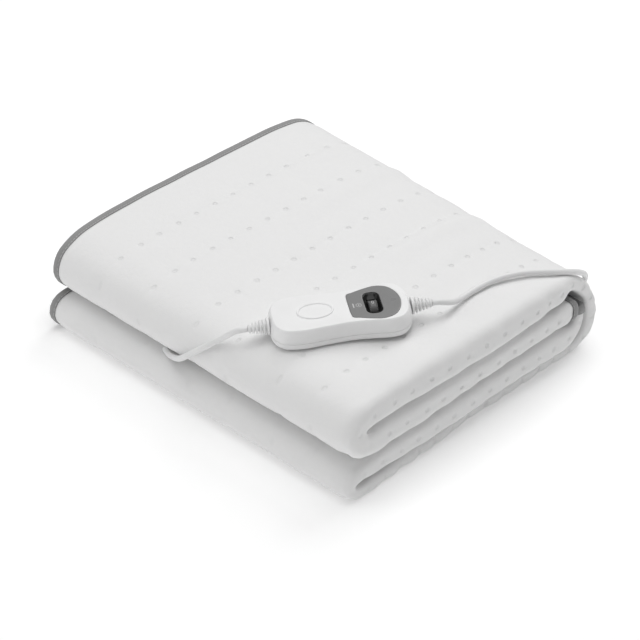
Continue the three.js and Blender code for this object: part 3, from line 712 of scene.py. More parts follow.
# %% Finish of the fleece
cut_map = fleece_finish.map_of("cut")
bond_map = fleece_finish.map_of("bonds")
fibres = fleece_finish.noise(cut_map, 1100, 3.0, 0.6)
clumps = fleece_finish.noise(cut_map, 210, 3.0, 0.55)
cloudy = fleece_finish.noise(cut_map, 34, 2.0)
dot_u, dot_v, _ = fleece_finish.split(bond_map)


def from_whole(signal):
    """Distance from the nearest whole number, with its sign."""
    rounded = fleece_finish.add("ShaderNodeMath", {"operation": "ROUND"}, {0: signal})
    return (signal - rounded) * DOT_PITCH


over, away = from_whole(dot_u), from_whole(dot_v)
from_dot = (over * over + away * away) ** 0.5
tight, _, _ = fleece_finish.split(fleece_finish.map_of("tightness"))
pressed_disc = from_dot.fade(1.4, 3.6) * tight
fleece_finish.colour(fleece_finish.mix(
    pressed_disc * 0.42 + clumps * 0.15 + cloudy * 0.1, grey(0.87, 0.002), grey(0.74, 0.0)))
fleece_finish.raise_surface(fibres * 0.00022 + clumps * 0.00035 - pressed_disc * 0.00075)
print("finish:", fleece_finish.material.name)

# %% [markdown]
# Grey tape is sewn round every free edge. In section it is a U over the pinched fleece, held by one
# row of stitches. Each strip is a grid again: the U is given as distances from the edge and rises
# from the layer's middle, and the fold's path carries it along.

# %% Strips of tape along the long edges
TAPE = 0.7
TAPE_HALF_SECTION = [(7.9, 2.3), (7.2, 2.55), (6.4, 2.15), (5.6, 2.55), (3.8, 2.65), (2.0, 2.55),
                     (0.4, 2.2), (-0.5, 1.3), (-0.8, 0)]
TAPE_SECTION = TAPE_HALF_SECTION + [(depth, -rise) for depth, rise in TAPE_HALF_SECTION[-2::-1]]
section_steps = np.linalg.norm(np.diff(np.array(TAPE_SECTION), axis=0), axis=1)
tape_across = np.concatenate([[0], np.cumsum(section_steps)])
tape_finish = Finish("grey_binding", Roughness=0.85, Sheen_Weight=0.15, Sheen_Roughness=0.5)


def on_the_floor(points):
    points[:, :, 2] = np.maximum(points[:, :, 2], TAPE / 2)
    return points


def tape_strip(name, points, lengthwise, crosswise):
    maps = {"tape": (lengthwise * MM, crosswise * MM)}
    mesh, _, _ = grid_mesh(name, on_the_floor(points), maps)
    strip = placed_piece(name, mesh, tape_finish)
    thicken(strip, TAPE)
    return strip


def edge_tape(name, side):
    strips = []
    for depth, rise in TAPE_SECTION:
        layer, normal = flat_layer(side, depth, lines)
        from_first = depth if side > 0 else across[-1].mean() - depth
        height = rise + unevenness(np.full(len(lines), from_first), along)
        strips.append(layer + normal * height[:, None])
    shape = (len(TAPE_SECTION), len(lines))
    return tape_strip(name, np.stack(strips), np.broadcast_to(along, shape),
                      np.broadcast_to(tape_across[:, None], shape))


edge_tape("tape_outer_edge", 1)
edge_tape("tape_inner_edge", -1)
print("tape along the edges:", round(along[-1]), "mm each")

# %% Strips of tape over the cut ends
FIRST_SPAN, LAST_SPAN = 28, 9
END_EXTRA, CORNER_EXTRA, CORNER_REACH = 1.06, 0.3, 11
PAST_EDGE = -1.6
past_outer = {"side": 1, "x": PAST_EDGE, "lattice": 0, "phase": 0}
past_inner = {"side": -1, "x": PAST_EDGE, "lattice": 0, "phase": 0}
end_columns = [past_outer] + columns + [past_inner]


def end_tape(name, end_place, span, inward, along_there):
    depths = np.array([depth for depth, rise in TAPE_SECTION])
    rises = np.array([rise for depth, rise in TAPE_SECTION]) * END_EXTRA
    places = end_place + inward * np.maximum(depths, 0) / span
    just_in = end_place + inward * np.array([0, 0.02])
    strips, lengthwise = [], []
    for column in end_columns:
        layer, normal, from_first, _, _ = column_of_cloth(column, places)
        start = column_of_cloth(column, just_in)[0]
        outwards = (start[0] - start[1]) / np.linalg.norm(start[0] - start[1])
        from_side = min(abs(from_first[0]), abs(across[-1].mean() - from_first[0]))
        wide = 1 + CORNER_EXTRA * math.exp(-(from_side / CORNER_REACH) ** 4)
        height = rises * wide + unevenness(from_first, np.full(len(places), along_there))
        strips.append(layer + normal * height[:, None] - outwards * np.minimum(depths, 0)[:, None])
        lengthwise.append(from_first)
    shape = (len(end_columns), len(TAPE_SECTION))
    return tape_strip(name, np.stack(strips), np.stack(lengthwise), np.broadcast_to(tape_across, shape))


end_tape("tape_upper_end", 0, FIRST_SPAN, 1, 0)
end_tape("tape_lower_end", LAST_PLACE, LAST_SPAN, -1, along[-1])
print("tape over the ends:", len(end_columns), "columns")

# %% [markdown]
# The tape is a narrow twill. Two crossed waves in its own map make the weave, and a dashed line near
# its inner edge makes the stitches.

# %% Finish of the tape
TWILL, STITCH_PITCH, STITCH_LENGTH, STITCH_FROM_EDGE = 0.0008, 3.0, 2.1, 1.75
THREAD_SOLID, THREAD_GONE = 0.0000001, 0.0000002  # squares of metres from the stitch line
tape_u, tape_v, _ = tape_finish.split(tape_finish.map_of("tape"))


def wave(signal, period):
    """A sine of that period, from 0 to 1."""
    turns = signal * (2 * math.pi / period)
    return signal.finish.add("ShaderNodeMath", {"operation": "SINE"}, {0: turns}) * 0.5 + 0.5


def from_multiple(signal, pitch):
    """Distance from the nearest multiple of the pitch, in the signal's own units."""
    count = signal.finish.add("ShaderNodeMath", {"operation": "ROUND"}, {0: signal / pitch})
    distance = signal - count * pitch
    return signal.finish.add("ShaderNodeMath", {"operation": "ABSOLUTE"}, {0: distance})


twill = wave(tape_u + tape_v, TWILL) * wave(tape_u - tape_v * 0.5, TWILL * 1.7)
half_stitch = STITCH_LENGTH / 2 * MM
dash = from_multiple(tape_u, STITCH_PITCH * MM).fade(half_stitch * 0.85, half_stitch)
far_edge = tape_across[-1] * MM
from_near = tape_finish.add("ShaderNodeMath", {"operation": "MINIMUM"}, {0: tape_v, 1: far_edge - tape_v})
from_line = from_near - STITCH_FROM_EDGE * MM
stitch = dash * (from_line * from_line).fade(THREAD_SOLID, THREAD_GONE)
worn = tape_finish.noise(tape_finish.place(), 55)
cloth_colour = tape_finish.mix(twill * 0.5 + worn * 0.3, grey(0.27), grey(0.38))
tape_finish.colour(tape_finish.mix(stitch, cloth_colour, grey(0.5)))
tape_finish.raise_surface(twill * 0.00012 + stitch * 0.0002)
print("finish:", tape_finish.material.name)

# %% [markdown]
# The hand controller is built in its own frame, x along it to its head and z up from its base. Each
# shell is a stack of outlines. The first is a circle whose corners are moved, and each extrusion
# carries it on to the next. Where the stack turns down it makes a pocket, so a hole needs no boolean.

# %% Outlines, and shells skinned over them
OUTLINE_POINTS = 128
CONTROLLER_TURN, CONTROLLER_PITCH, CONTROLLER_ROLL = 55, -2.5, 2.3
controller_place = (Matrix.Translation(in_frame(300.5, 92, 103.9))
                    @ Matrix.Rotation(math.radians(CONTROLLER_TURN), 4, "Z")
                    @ Matrix.Rotation(math.radians(CONTROLLER_PITCH), 4, "Y")
                    @ Matrix.Rotation(math.radians(CONTROLLER_ROLL), 4, "X") @ Matrix.Scale(MM, 4))


def mirrored_outline(half_outline):
    """A smooth closed outline through half of its points and their mirror images."""
    points = np.array(half_outline + [(x, -y) for x, y in half_outline[-2:0:-1]], float)
    walk = np.arange(OUTLINE_POINTS) * len(points) / OUTLINE_POINTS
    row = walk.astype(int)
    before, start, end, after = (points[(row + step) % len(points)] for step in (-1, 0, 1, 2))
    return between(before, start, end, after, (walk - row)[:, None])


def drawn_in(outline, distance):
    """The outline moved inwards along its own normals."""
    direction = np.roll(outline, -1, axis=0) - np.roll(outline, 1, axis=0)
    direction /= np.linalg.norm(direction, axis=1)[:, None]
    turn = np.sign((outline[:, 0] * np.roll(outline[:, 1], -1)
                    - outline[:, 1] * np.roll(outline[:, 0], -1)).sum())
    return outline + distance * turn * np.stack([-direction[:, 1], direction[:, 0]], 1)


def rounded_slot(length, width, corner, centre=(0, 0)):
    """A rectangle with rounded corners. It starts and turns as the mirrored outlines do."""
    quarters = []
    for quarter, (sign_x, sign_y) in enumerate(((-1, 1), (1, 1), (1, -1), (-1, -1))):
        arc = np.radians(180 - 90 * quarter - np.linspace(0, 90, OUTLINE_POINTS // 4))
        quarters.append(np.stack([sign_x * (length / 2 - corner) + corner * np.cos(arc),
                                  sign_y * (width / 2 - corner) + corner * np.sin(arc)], 1))
    return np.concatenate(quarters) + centre


def rings_between(first, last, count=5):
    """Rings that change evenly from one to the other, so that a wide flat is bridged in short steps."""
    shares = np.arange(1, count + 1) / (count + 1)
    return [first * (1 - share) + last * share for share in shares]


def round_outline(radius, centre=(0, 0), count=40):
    angle = np.arange(count) * 2 * math.pi / count
    return np.stack([radius * np.cos(angle), radius * np.sin(angle)], 1) + centre


def at_height(outline, height):
    return np.column_stack([outline, np.full(len(outline), height)])


def across_axis(outline, x, height=0.0):
    """The outline standing upright across the x axis, at a height."""
    return np.column_stack([np.full(len(outline), x), outline[:, 0], outline[:, 1] + height])


def skinned(name, rings, place, finish, joined=False, sharp=38):
    """A shell extruded from ring to ring. It is capped at both ends, or welded into a closed tube."""
    bm = bmesh.new()
    corners = bmesh.ops.create_circle(bm, cap_ends=False, radius=1, segments=len(rings[0]))["verts"]
    loop = first_loop = bm.edges[:]
    for corner, point in zip(corners, rings[0]):
        corner.co = point
    for ring in rings[1:] + (rings[:1] if joined else []):
        grown = bmesh.ops.extrude_edge_only(bm, edges=loop)["geom"]
        fresh = {item for item in grown if isinstance(item, bmesh.types.BMVert)}
        corners = [next(edge.other_vert(corner) for edge in corner.link_edges
                        if edge.other_vert(corner) in fresh) for corner in corners]
        loop = [item for item in grown if isinstance(item, bmesh.types.BMEdge) and set(item.verts) <= fresh]
        for corner, point in zip(corners, ring):
            corner.co = point
    if joined:
        bmesh.ops.remove_doubles(bm, verts=bm.verts, dist=0.001)
    else:
        bmesh.ops.edgeloop_fill(bm, edges=first_loop)
        bmesh.ops.edgeloop_fill(bm, edges=loop)
    bmesh.ops.recalc_face_normals(bm, faces=bm.faces)
    bm.transform(place)
    mesh = bpy.data.meshes.new(name)
    bm.to_mesh(mesh)
    bm.free()
    mesh.polygons.foreach_set("use_smooth", [True] * len(mesh.polygons))
    mesh.set_sharp_from_angle(angle=math.radians(sharp))
    return placed_piece(name, mesh, finish)


print("outlines of", OUTLINE_POINTS, "points")

# %% [markdown]
# The housing is two shells that meet in a fine groove. The upper one dips into a pocket for the face
# plate, and from that into a second one for the dial's dark insert.

# %% The housing
TAIL_END, HEAD_END = -64, 65
HOUSING_OUTLINE = [(TAIL_END, 0), (-62.6, 15), (-55, 24.8), (-38, 28.6), (-14, 27.2), (8, 26.2),
                   (28, 28), (43, 29.6), (55, 26.8), (62.4, 17), (HEAD_END, 0)]
PLATE_OUTLINE = [(8.5, 0), (8.5, 10), (9.8, 16.8), (15, 18.6), (26, 22.2), (37, 24), (47, 20.5),
                 (53.5, 11), (55.5, 0)]
LOWER_LEVELS = [(0, 5.2), (0, 4.2), (0.15, 3.4), (0.5, 2.6), (1.1, 1.7), (2, 0.95), (3.2, 0.4),
                (4.5, 0.1), (6, 0), (7.3, 0), (7.46, 0.1), (7.52, 0.3), (7.52, 1)]
UPPER_LEVELS = [(7.72, 1), (7.72, 0.3), (7.78, 0.1), (7.95, 0), (11, 0.2), (14, 0.62), (16, 1.05),
                (17.5, 1.5), (18.7, 1.97), (19.6, 2.42), (20.3, 2.85), (20.7, 3.17), (20.93, 3.45),
                (21, 3.7), (21, 3.85)]
PLATE_TOP, PLATE_BASE, POCKET_FLOOR = 21.2, 20.0, 19.7
WELL_CENTRE, WELL_LENGTH, WELL_ACROSS, WELL_CORNER = 30.4, 14.8, 31, 6
WELL_FLOOR, PIECE_GAP = 8.8, 0.3
housing_outline = mirrored_outline(HOUSING_OUTLINE)
plate_outline = mirrored_outline(PLATE_OUTLINE)
well_outline = rounded_slot(WELL_LENGTH, WELL_ACROSS, WELL_CORNER, (WELL_CENTRE, 0))


def stacked(outline, levels):
    return [at_height(drawn_in(outline, inset), height) for height, inset in levels]


housing_finish = Finish("white_housing", Roughness=0.36)
skinned("controller_base", stacked(housing_outline, LOWER_LEVELS), controller_place, housing_finish)
cover = stacked(housing_outline, UPPER_LEVELS)
pocket = stacked(plate_outline, [(21, -0.75), (20.97, -0.5), (20.85, -0.38), (POCKET_FLOOR, -0.36)])
insert_pocket = stacked(well_outline, [(POCKET_FLOOR, -2 * PIECE_GAP), (POCKET_FLOOR, -PIECE_GAP),
                                       (WELL_FLOOR - PIECE_GAP, -PIECE_GAP)])
cover += rings_between(cover[-1], pocket[0]) + pocket
cover += rings_between(pocket[-1], insert_pocket[0], 3) + insert_pocket
skinned("controller_cover", cover, controller_place, housing_finish)
print("housing:", HEAD_END - TAIL_END, "mm long")

# %% The face plate and its small marks
plate_finish = Finish("dark_face", Roughness=0.3)
mark_finish = Finish("light_print", Roughness=0.6)
plate_edge = stacked(plate_outline, [(PLATE_BASE, 0), (20.95, 0), (21.12, 0.07), (PLATE_TOP, 0.3),
                                     (PLATE_TOP, 0.9)])
window_edge = stacked(well_outline, [(PLATE_TOP, -1.1), (PLATE_TOP, -0.6), (21.1, -0.38),
                                     (PLATE_BASE, -0.3)])
plate_rings = plate_edge + rings_between(plate_edge[-1], window_edge[0]) + window_edge
plate_rings += rings_between(window_edge[-1], plate_edge[0])
skinned("face_plate_shell", plate_rings, controller_place, plate_finish, joined=True)
PRINT_TOP, PRINT_ROOT = PLATE_TOP + 0.06, PLATE_TOP - 0.1
RING_PLACE, BAR_PLACE = (17.4, -1), (12.6, -1)
ring = [(2.6, PRINT_ROOT), (2.6, PRINT_TOP), (2.2, PRINT_TOP), (2.2, PRINT_ROOT)]
skinned("mark_ring", [at_height(round_outline(radius, RING_PLACE), height) for radius, height in ring],
        controller_place, mark_finish, joined=True)
skinned("mark_dot", [at_height(round_outline(0.75, RING_PLACE, 24), height)
                     for height in (PRINT_ROOT, PRINT_TOP)], controller_place, mark_finish)
skinned("mark_bar", [at_height(rounded_slot(1.0, 6.4, 0.45, BAR_PLACE), height)
                     for height in (PRINT_ROOT, PRINT_TOP)], controller_place, mark_finish)
print("face plate with ring, dot and bar")

# %% The dark insert, dished down to the wheel
WELL_LEVELS = [(WELL_LENGTH, WELL_ACROSS, WELL_CORNER, WELL_FLOOR),
               (WELL_LENGTH, WELL_ACROSS, WELL_CORNER, 20.5), (14.5, 30.7, 5.9, 20.7),
               (14, 30, 5.7, 20.62), (13.2, 28.6, 5.4, 20.2), (12.2, 26.4, 4.8, 19.4),
               (11.2, 24, 4.2, 18.65),
               (10.2, 21.6, 3.2, 18.1), (9.3, 19.7, 2, 17.75), (8.8, 18.8, 1.2, 17.55),
               (8.7, 18.6, 1, 17.3), (8.7, 18.6, 1, 9.2)]
gloss_finish = Finish("black_gloss", Roughness=0.2, Specular_IOR_Level=0.25)
skinned("dial_insert", [at_height(rounded_slot(length, width, corner, (WELL_CENTRE, 0)), height)
                        for length, width, corner, height in WELL_LEVELS], controller_place, gloss_finish)
print("insert:", WELL_ACROSS, "mm across")

# %% [markdown]
# The thumb wheel turns about the controller's long axis. Fine finger ribs run on both sides of a
# smooth band, which carries the printed numbers 0 to 3. The band's numbers are text, made a mesh and
# then wrapped round the wheel. Out of sight, the wheel's lower part runs through the closed floors of
# the insert, the cover and the base, where the frame's solids leave an open room for it.

# %% The thumb wheel
WHEEL_RADIUS, WHEEL_HEIGHT, WHEEL_POINTS, WHEEL_RIBS = 8.6, 13, 288, 36
NUMBER_BAND_RADIUS = 8.4
WHEEL_SECTION = [(-5.6, 1.3, 0), (-5.6, 1.6, 0), (-4, 1.6, 0), (-4, 7.4, 0), (-3.95, 7.7, 0),
                 (-3.8, 8.1, 0.1), (-3.6, 8.45, 0.3), (-3.4, WHEEL_RADIUS, 0.4),
                 (-2.7, WHEEL_RADIUS, 0.4), (-2.5, 8.5, 0.15), (-2.4, NUMBER_BAND_RADIUS, 0)]
wheel_finish = Finish("dark_wheel", Roughness=0.3)


def ribbed(radius, depth):
    angle = np.arange(WHEEL_POINTS) * 2 * math.pi / WHEEL_POINTS
    groove = (0.5 - 0.5 * np.cos(WHEEL_RIBS * angle)) ** 2
    local = radius - depth * groove
    return np.stack([local * np.cos(angle), local * np.sin(angle)], 1)


wheel_sections = WHEEL_SECTION + [(-x, radius, depth) for x, radius, depth in WHEEL_SECTION[::-1]]
wheel_rings = [across_axis(ribbed(radius, depth), WELL_CENTRE + x, WHEEL_HEIGHT)
               for x, radius, depth in wheel_sections]
skinned("thumb_wheel", wheel_rings, controller_place, wheel_finish)
print("wheel ribs:", WHEEL_RIBS)

# %% Numbers on the wheel
NUMBER_SIZE, NUMBER_PITCH, NUMBER_PROUD = 5.4, 35, 0.06


def number_mesh(text):
    curve = bpy.data.curves.new("number_" + text, "FONT")
    curve.body = text
    curve.size = NUMBER_SIZE
    curve.align_x = "CENTER"
    curve.align_y = "CENTER"
    curve.extrude = NUMBER_PROUD
    curve.resolution_u = 4
    holder = bpy.data.objects.new("number_" + text, curve)
    bpy.context.scene.collection.objects.link(holder)
    flat = bpy.data.meshes.new_from_object(holder.evaluated_get(bpy.context.evaluated_depsgraph_get()))
    bpy.data.objects.remove(holder)
    bpy.data.curves.remove(curve)
    return flat


bm = bmesh.new()
for count in range(4):
    flat = number_mesh(str(count))
    for vertex in flat.vertices:
        angle = math.radians(NUMBER_PITCH * count) + vertex.co.y / NUMBER_BAND_RADIUS
        radius = NUMBER_BAND_RADIUS + vertex.co.z
        vertex.co = (WELL_CENTRE + vertex.co.x, radius * math.sin(angle),
                     WHEEL_HEIGHT + radius * math.cos(angle))
    bm.from_mesh(flat)
    bpy.data.meshes.remove(flat)
bm.transform(controller_place)
numbers_mesh = bpy.data.meshes.new("wheel_numbers")
bm.to_mesh(numbers_mesh)
bm.free()
placed_piece("wheel_numbers", numbers_mesh, mark_finish)
print("numbers every", NUMBER_PITCH, "degrees")

# %% The thumb rest and the strain reliefs
OVAL_CENTRE, OVAL_LENGTH, OVAL_WIDTH = (-22, 0), 17, 12
REST_LEVELS = [(20.9, 0), (21.5, 0.15), (21.85, 0.5), (22.0, 0.95), (21.97, 1.4), (21.75, 1.9),
               (21.35, 2.35), (20.9, 2.6)]
oval = round_outline(1, count=64) * (OVAL_LENGTH, OVAL_WIDTH) + OVAL_CENTRE
skinned("thumb_oval", stacked(oval, REST_LEVELS), controller_place, housing_finish, joined=True)
LEAD_AXIS_HEIGHT = 11.5
RELIEF_START, RIB_COUNT, RIB_PITCH = 0.3, 5, 3.2
ROOT_RADIUS, TIP_RADIUS, GROOVE_DEPTH = 7.2, 4.3, 2.6
FIRST_GROOVE, GROOVE_HALF_WIDTH = 2.4, 0.7


def relief_section():
    section = [(0, 7.4), (0, 7.9), (0.2, 8), (1.7, 8), (2, 7.8), (2.1, 7.2)]
    for rib in range(RIB_COUNT):
        start = FIRST_GROOVE + rib * RIB_PITCH
        radius = ROOT_RADIUS + (TIP_RADIUS - ROOT_RADIUS) * rib / (RIB_COUNT - 1)
        groove = max(radius - GROOVE_DEPTH, LEAD_RADIUS + 0.25)
        section += [(start, groove), (start + 1.4, groove), (start + 1.5, radius - 0.3),
                    (start + 1.75, radius), (start + 2.6, radius - 0.1), (start + 2.9, radius - 0.4)]
    return section + [(18.6, LEAD_RADIUS + 0.5), (19, LEAD_RADIUS + 0.3), (19, LEAD_RADIUS - 0.4)]


relief_finish = Finish("ribbed_relief", Roughness=0.42)
for name, end, direction in (("relief_to_blanket", TAIL_END, -1), ("relief_to_plug", HEAD_END, 1)):
    relief_rings = [across_axis(round_outline(radius), end + direction * (RELIEF_START + x),
                                LEAD_AXIS_HEIGHT) for x, radius in relief_section()]
    skinned(name, relief_rings, controller_place, relief_finish, sharp=50)
print("strain reliefs with", RIB_COUNT, "ribs each")

# %% [markdown]
# The housing is a satin moulding with a very fine spark texture. The plate is darker and a little
# glossier, and the insert is polished. Slight smudges in the gloss keep each from looking computed.

# %% Finishes of the controller
MOULD_TEXTURE = 1400


def moulded(finish, shade, shine, texture_height=0.000012):
    """A plastic with a faint cloud in its colour and gloss and a fine moulded texture."""
    cloud = finish.noise(finish.place(), 45, 3.0)
    finish.colour(finish.mix(cloud, grey(shade * 0.97), grey(shade * 1.03)))
    finish.roughness(cloud * 0.14 + (shine - 0.07))
    finish.raise_surface(finish.noise(finish.place(), MOULD_TEXTURE) * texture_height)


moulded(housing_finish, 0.9, 0.36)
# Painted shade on the strain reliefs: a mask along the controller's axis finds the grooves between their
# ribs, and the grooves are coloured dark for the shadow that falls in them.
controller_axis = controller_place.to_3x3() @ Vector((1, 0, 0)) / MM
controller_middle = controller_place.to_translation()
along_axis = relief_finish.add("ShaderNodeVectorMath", {"operation": "DOT_PRODUCT"},
                               {0: relief_finish.place(), 1: controller_axis}, "Value")
from_middle = (along_axis - controller_axis.dot(controller_middle)) / MM - (TAIL_END + HEAD_END) / 2
from_root = relief_finish.add("ShaderNodeMath", {"operation": "ABSOLUTE"}, {0: from_middle})
from_root = from_root - ((HEAD_END - TAIL_END) / 2 + RELIEF_START)
from_groove = from_multiple(from_root - (FIRST_GROOVE + GROOVE_HALF_WIDTH), RIB_PITCH)
painted_groove_shade = from_groove.fade(0.55, 0.95) * from_root.fade(18.2, 17.6) * from_root.fade(2.0, 2.4)
# The dark grey in the grooves is painted shade, not the plastic's own colour.
relief_finish.colour(relief_finish.mix(painted_groove_shade, grey(0.85), grey(0.28)))
relief_finish.raise_surface(relief_finish.noise(relief_finish.place(), 1200) * 0.00001)
moulded(plate_finish, 0.235, 0.3)
moulded(gloss_finish, 0.01, 0.2, texture_height=0.000004)
moulded(wheel_finish, 0.1, 0.34)
moulded(mark_finish, 0.6, 0.6)
print("controller finishes ready")

# %% [markdown]
# To the left of the stack, a band holds the coil, and the lead ends in a flat two-pin plug. Both lie
# on the same surface as the stack. Each pin is a metal rod in a short insulating sleeve.

# %% The coil's tie
TIE_WIDTH, TIE_WALL, TIE_CORNER = 9, 0.8, 2.6
TIE_INSIDE, TIE_OUTSIDE, TIE_OPENING_HEIGHT = 16.306, 41.0, 12.4
tie_centre = in_frame(COIL_X, COIL_Y + (TIE_INSIDE + TIE_OUTSIDE) / 2, TIE_WALL + TIE_OPENING_HEIGHT / 2)
tie_place = Matrix.Translation(tie_centre) @ Matrix.Scale(MM, 4)


def tie_ring(grown, x):
    outline = rounded_slot(TIE_OUTSIDE - TIE_INSIDE + 2 * grown, TIE_OPENING_HEIGHT + 2 * grown,
                           TIE_CORNER + grown)
    return across_axis(outline, x)


tie_finish = Finish("tie_strap", Roughness=0.5)
half_tie = TIE_WIDTH / 2
TIE_RINGS = [(TIE_WALL - 0.2, -half_tie), (TIE_WALL, 0.3 - half_tie), (TIE_WALL, half_tie - 0.3),
             (TIE_WALL - 0.2, half_tie), (0.05, half_tie), (0.0, half_tie - 0.2), (0.0, 0.2 - half_tie),
             (0.05, -half_tie)]
coil_tie = skinned("coil_strap", [tie_ring(grown, x) for grown, x in TIE_RINGS], tie_place, tie_finish,
                   joined=True)
moulded(tie_finish, 0.75, 0.5)
print("tie:", TIE_WIDTH, "mm wide")

# %% The plug
PLUG_HALF_WIDTHS = [(0, 3.6), (6, 4.6), (14, 8), (22, 12.4), (35, 12.8), (36.6, 12.5), (37.3, 12),
                    (37.5, 11.4), (37.5, 10.6)]
PLUG_HALF_THICKNESS, PLUG_LENGTH, PLUG_ROUNDNESS = 6.9, 37.5, 0.75
PIN_RADIUS, PIN_LENGTH, PIN_SPACING, SLEEVE_LENGTH = 2, 19, 18.6, 10
plug_place = (Matrix.Translation(in_frame(-19, 186.7, 7.4)) @ Matrix.Rotation(math.radians(90), 4, "Z")
              @ Matrix.Scale(MM, 4))
plug_finish = Finish("plug_moulding", Roughness=0.4)


def plug_ring(distance, half_width):
    thick = PLUG_HALF_THICKNESS * (0.6 + 0.4 * eased(distance, 0, 20))
    thick *= min(1, 0.6 + 0.4 * half_width / 12.4) if distance > 36 else 1
    angle = np.arange(64) * 2 * math.pi / 64
    wide, high = np.cos(angle), np.sin(angle)
    outline = np.stack([half_width * np.sign(wide) * abs(wide) ** PLUG_ROUNDNESS,
                        thick * np.sign(high) * abs(high) ** PLUG_ROUNDNESS], 1)
    return across_axis(outline, -distance)


body_distances = np.linspace(0, 35, 22)
body_widths = np.interp(body_distances, *zip(*PLUG_HALF_WIDTHS[:5]))
smooth_widths = np.convolve(np.pad(body_widths, 2, "edge"), [0.1, 0.2, 0.4, 0.2, 0.1], "valid")
plug_rings = [plug_ring(distance, width) for distance, width in zip(body_distances, smooth_widths)]
plug_rings += [plug_ring(distance, width) for distance, width in PLUG_HALF_WIDTHS[5:]]
plug_body = skinned("plug_shell", plug_rings, plug_place, plug_finish)
moulded(plug_finish, 0.82, 0.4)
pin_finish = Finish("plated_brass", Metallic=1.0, Roughness=0.22)
sleeve_finish = Finish("pin_sleeve", Roughness=0.45)
PIN_SECTION = [(0, 1.5), (0, 1.9), (SLEEVE_LENGTH, 1.9), (SLEEVE_LENGTH + 0.2, PIN_RADIUS),
               (17.6, PIN_RADIUS), (18.4, 1.7), (18.9, 1.1), (PIN_LENGTH, 0.5)]
SLEEVE_SECTION = [(0, 1.92), (0, 2.1), (SLEEVE_LENGTH - 0.3, 2.1), (SLEEVE_LENGTH, 1.98),
                  (SLEEVE_LENGTH, 1.92)]
for side_name, side in (("left", 1), ("right", -1)):
    for kind, section, finish, joined in (("pin", PIN_SECTION, pin_finish, False),
                                          ("sleeve", SLEEVE_SECTION, sleeve_finish, True)):
        rings = [across_axis(round_outline(radius, (side * PIN_SPACING / 2, 0), 28),
                             -PLUG_LENGTH - 0.3 - x) for x, radius in section]
        skinned(kind + "_" + side_name, rings, plug_place, finish, joined)
moulded(sleeve_finish, 0.03, 0.45)
pin_finish.colour(pin_finish.mix(pin_finish.noise(pin_finish.place(), 300), (0.74, 0.7, 0.64, 1),
                                 (0.82, 0.79, 0.74, 1)))

# %% [markdown]
# A table lists, for every piece, the body it moves with, its finish of the record and the solids it
# stands for. Each piece is attached to its body, and the solids it stands for are hidden.

# %% What each piece stands for
STANDS_FOR = {
    "fleece": ("blanket", "fleece", ["blanket_cloth"]),
    "tape_outer_edge": ("blanket", "binding_tape", ["binding_outer_edge"]),
    "tape_inner_edge": ("blanket", "binding_tape", ["binding_inner_edge"]),
    "tape_upper_end": ("blanket", "binding_tape", ["binding_upper_end"]),
    "tape_lower_end": ("blanket", "binding_tape", ["binding_lower_end"]),
    "controller_base": ("blanket", "housing_plastic", ["housing_lower"]),
    "controller_cover": ("blanket", "housing_plastic", ["housing_upper"]),
    "face_plate_shell": ("blanket", "face_plastic", ["face_plate"]),
    "mark_ring": ("blanket", "housing_plastic", []),
    "mark_dot": ("blanket", "housing_plastic", []),
    "mark_bar": ("blanket", "housing_plastic", []),
    "dial_insert": ("blanket", "black_plastic", ["dial_well"]),
    "thumb_wheel": ("dial", "black_plastic", ["dial"]),
    "wheel_numbers": ("dial", "housing_plastic", []),
    "thumb_oval": ("blanket", "housing_plastic", ["thumb_rest"]),
    "relief_to_blanket": ("blanket", "lead_plastic", ["relief_blanket_side"]),
    "relief_to_plug": ("blanket", "lead_plastic", ["relief_mains_side"]),
    "lead_to_blanket": ("blanket", "lead_plastic", ["controller_lead"]),
    "lead_to_plug": ("blanket", "lead_plastic", ["mains_lead", "mains_coil", "plug_lead"]),
    "coil_strap": ("blanket", "lead_plastic", ["coil_tie"]),
    "plug_shell": ("blanket", "lead_plastic", ["plug_body"]),
    "pin_left": ("blanket", "plated_pins", ["plug_pin_left"]),
    "pin_right": ("blanket", "plated_pins", ["plug_pin_right"]),
    "sleeve_left": ("blanket", "black_plastic", []),
    "sleeve_right": ("blanket", "black_plastic", []),
}
for name, (body, slot, solids) in STANDS_FOR.items():
    piece = bpy.data.objects[name]
    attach(piece, body)
    if solids:
        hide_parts(*solids)
print("pieces:", len(STANDS_FOR))
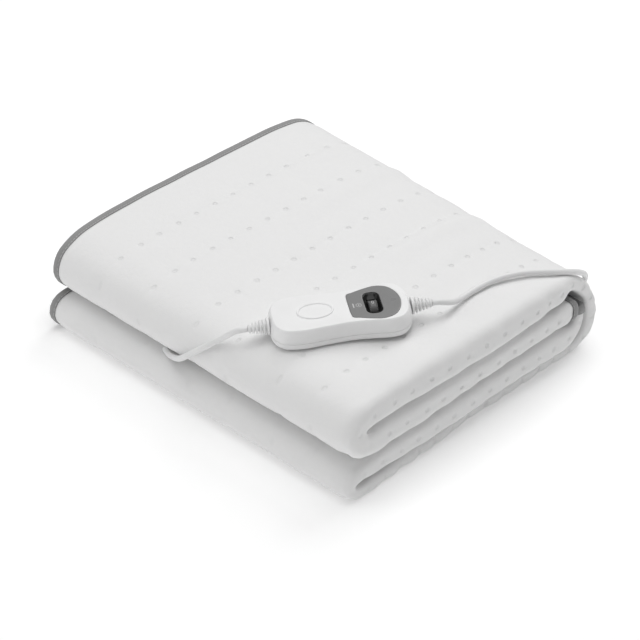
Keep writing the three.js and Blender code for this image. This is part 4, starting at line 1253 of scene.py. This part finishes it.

# %% Where the two leads start
tuple(in_frame(*CONTROLLER_LEAD_ROUTE[0]))
tuple(in_frame(*MAINS_LEAD_ROUTE[0]))

# %% [markdown]
# The floor is white paper with a little glow of its own, so the shadow on it is soft and faint. Broad
# lamps overhead and behind lift the top, weaker ones on the left and in front light the rolls, and
# the right side stays a shade darker. The display is set to plain sRGB, which keeps the paper white.

# %% Floor and light
floor_mesh = bpy.data.meshes.new("floor")
bm = bmesh.new()
bmesh.ops.create_grid(bm, x_segments=1, y_segments=1, size=6)
bm.to_mesh(floor_mesh)
bm.free()
floor_finish = Finish("studio_floor", Roughness=0.9, Specular_IOR_Level=0.0,
                      Emission_Color=(1, 1, 1, 1), Emission_Strength=0.18)
paper = floor_finish.noise(floor_finish.place(), 3)
floor_finish.colour(floor_finish.mix(paper, grey(0.95), grey(0.97)))
floor = placed_piece("floor", floor_mesh, floor_finish)

SKY_STRENGTH = 0.27
world = bpy.data.worlds.new("studio")
bpy.context.scene.world = world
world.use_nodes = True
world.node_tree.nodes["Background"].inputs["Color"].default_value = (1, 1, 1, 1)
world.node_tree.nodes["Background"].inputs["Strength"].default_value = SKY_STRENGTH
bpy.context.scene.view_settings.view_transform = "Standard"

LAMPS = {
    "overhead": (0, 88, 2.6, 2.0, 27),
    "left": (-40, 40, 2.6, 1.6, 6),
    "front": (-10, 30, 2.6, 1.6, 5),
    "back": (-170, 50, 2.6, 1.6, 22),
    "right": (60, 35, 2.6, 1.6, 0.5),
}
for name, (azimuth, elevation, distance, size, power) in LAMPS.items():
    light = bpy.data.lights.new(name, "AREA")
    light.size = size
    light.energy = power
    lamp = bpy.data.objects.new(name, light)
    bpy.context.scene.collection.objects.link(lamp)
    turn, lift = math.radians(azimuth), math.radians(elevation)
    towards_lamp = Vector((math.sin(turn) * math.cos(lift), -math.cos(turn) * math.cos(lift),
                           math.sin(lift)))
    lamp.location = towards_lamp * distance
    lamp.rotation_euler = towards_lamp.to_track_quat("Z", "Y").to_euler()
print("lamps:", ", ".join(LAMPS))
